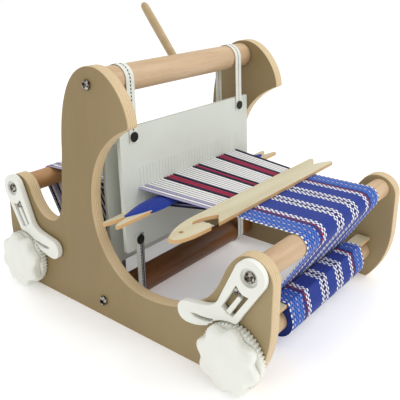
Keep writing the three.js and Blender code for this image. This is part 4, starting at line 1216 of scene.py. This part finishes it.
def rear_shuttle():
    """A plain stick shuttle with the weft wound from notch to notch, lying in the open shed."""
    half, w, notch = 165, 12, 26
    o = Outline(-half + 3, -w).line(half - 3, -w).bow((half, -w), (half, -w * 0.7))
    o.curve((half - 6, -w * 0.3), (half - notch + 4, -w * 0.3), (half - notch, 0))
    o.curve((half - notch + 4, w * 0.3), (half - 6, w * 0.3), (half, w * 0.7))
    o.bow((half, w), (half - 3, w)).line(-half + 3, w).bow((-half, w), (-half, w * 0.7))
    o.curve((-half + 6, w * 0.3), (-half + notch - 4, w * 0.3), (-half + notch, 0))
    o.curve((-half + notch - 4, -w * 0.3), (-half + 6, -w * 0.3), (-half, -w * 0.7))
    o.bow((-half, -w), (-half + 3, -w))
    body = plate("notch_shuttle", [o], 0, SHUTTLE_THICK, 0.7, "Z")
    eye_y, eye_z = EYE_POINTS["back"]
    slope = (FELL[1] - eye_z) / (eye_y - FELL[0])
    y = LOWER_ROLLER[0] - ROLLER_RADIUS - SHUTTLE_AHEAD
    z = FELL[1] - slope * (y - FELL[0]) + SHEET / 2 + GAP + 2
    tilt = Matrix.Rotation(-math.atan(slope), 4, "X") @ Matrix.Rotation(SHUTTLE_SKEW, 4, "Z")
    turn = shift(MIDDLE - SHUTTLE_LEFT, y, z) @ tilt
    body.data.transform(turn)
    piece(body, "rear_shuttle", ["rear_shuttle"], [BIRCH])

    strands = 24
    samples = 48
    lines, radii = [], []
    middle = SHUTTLE_THICK / 2
    reach = half - notch + 1

    def girth(t):
        """Half-width, rise and fall of the wound yarn at share t of its length."""
        fan = min(1, (1 - abs(t)) / 0.34)
        full = math.sin(math.pi / 2 * fan)
        return 2.0 + 11.4 * full, 2.6 + 3.4 * full, 2.6 + 0.35 * full

    for k in range(strands):
        a = 2 * math.pi * (k + 0.5) / strands
        line = []
        for i in range(samples + 1):
            t = 2 * i / samples - 1
            wide, rise, fall = girth(t)
            sway = 0.25 * math.sin(7 * t + 2.4 * k)
            tall = rise if math.sin(a) > 0 else fall
            line.append((t * reach, wide * math.cos(a) + sway, middle + tall * math.sin(a)))
        lines.append(line)
        radii.append([1.35 if math.sin(a) > -0.2 else 1.15] * (samples + 1))
    yarn = tubes("wound_weft", lines, radii, sides=7)
    yarn.data.transform(turn)
    piece(yarn, "rear_shuttle", ["weft_yarn"], [WEFT])


# ---------- studio ----------
def studio():
    bpy.ops.mesh.primitive_plane_add(size=40)
    floor = bpy.context.object
    floor.name = "floor"
    paint(floor, floor_material())

    world = bpy.data.worlds.new("studio")
    bpy.context.scene.world = world
    world.use_nodes = True
    world.node_tree.nodes["Background"].inputs["Color"].default_value = (1, 1, 1, 1)
    world.node_tree.nodes["Background"].inputs["Strength"].default_value = 0.8

    for name, spot, size, power in (("key", (0.9, -1.3, 1.5), 1.0, 12), ("top", (0.1, 0.3, 1.9), 1.0, 5)):
        light = bpy.data.lights.new(name, "AREA")
        light.size = size
        light.energy = power
        lamp = bpy.data.objects.new(name, light)
        lamp.location = spot
        aim = Vector((0, 0, 0.12)) - Vector(spot)
        lamp.rotation_euler = aim.to_track_quat("-Z", "Y").to_euler()
        bpy.context.scene.collection.objects.link(lamp)

    lens = bpy.data.cameras.new("camera")
    lens.lens = 54.32
    lens.shift_x = 0.0478
    lens.shift_y = -0.1295
    camera = bpy.data.objects.new("camera", lens)
    camera.location = (-0.5650, -0.4435, 0.4002)
    camera.rotation_euler = (math.radians(72.90), 0, math.radians(-50.23))
    bpy.context.scene.collection.objects.link(camera)
    bpy.context.scene.camera = camera
    bpy.context.scene.view_settings.view_transform = "Standard"


studio()
side_panels()
dowel("front_beam", "frame", FRONT_BEAM, BEAM_RADIUS, BEECH)
dowel("back_beam", "frame", BACK_BEAM, BEAM_RADIUS, WARM_BEECH)
dowel("top_roller", "shed_roller", TOP_ROLLER, ROLLER_RADIUS, BEECH)
dowel("lower_roller", "strap_roller", LOWER_ROLLER, ROLLER_RADIUS, DARK_WOOD)
handle()
screws()
for winder, roller_place, knob_turn, pawl_name, beam_place, mirrored in (
        ("cloth", CLOTH_ROLLER, 0.2, "front", FRONT_BEAM, False),
        ("warp", WARP_ROLLER, 0.5, "back", BACK_BEAM, True)):
    winding_roller(winder, roller_place)
    ratchet_knob(winder, roller_place, knob_turn)
    pawl(pawl_name, beam_place, mirrored)
heddle_board("front")
heddle_board("back")
straps()
warp_threads()
web()
cloth_roll()
front_shuttle()
rear_shuttle()
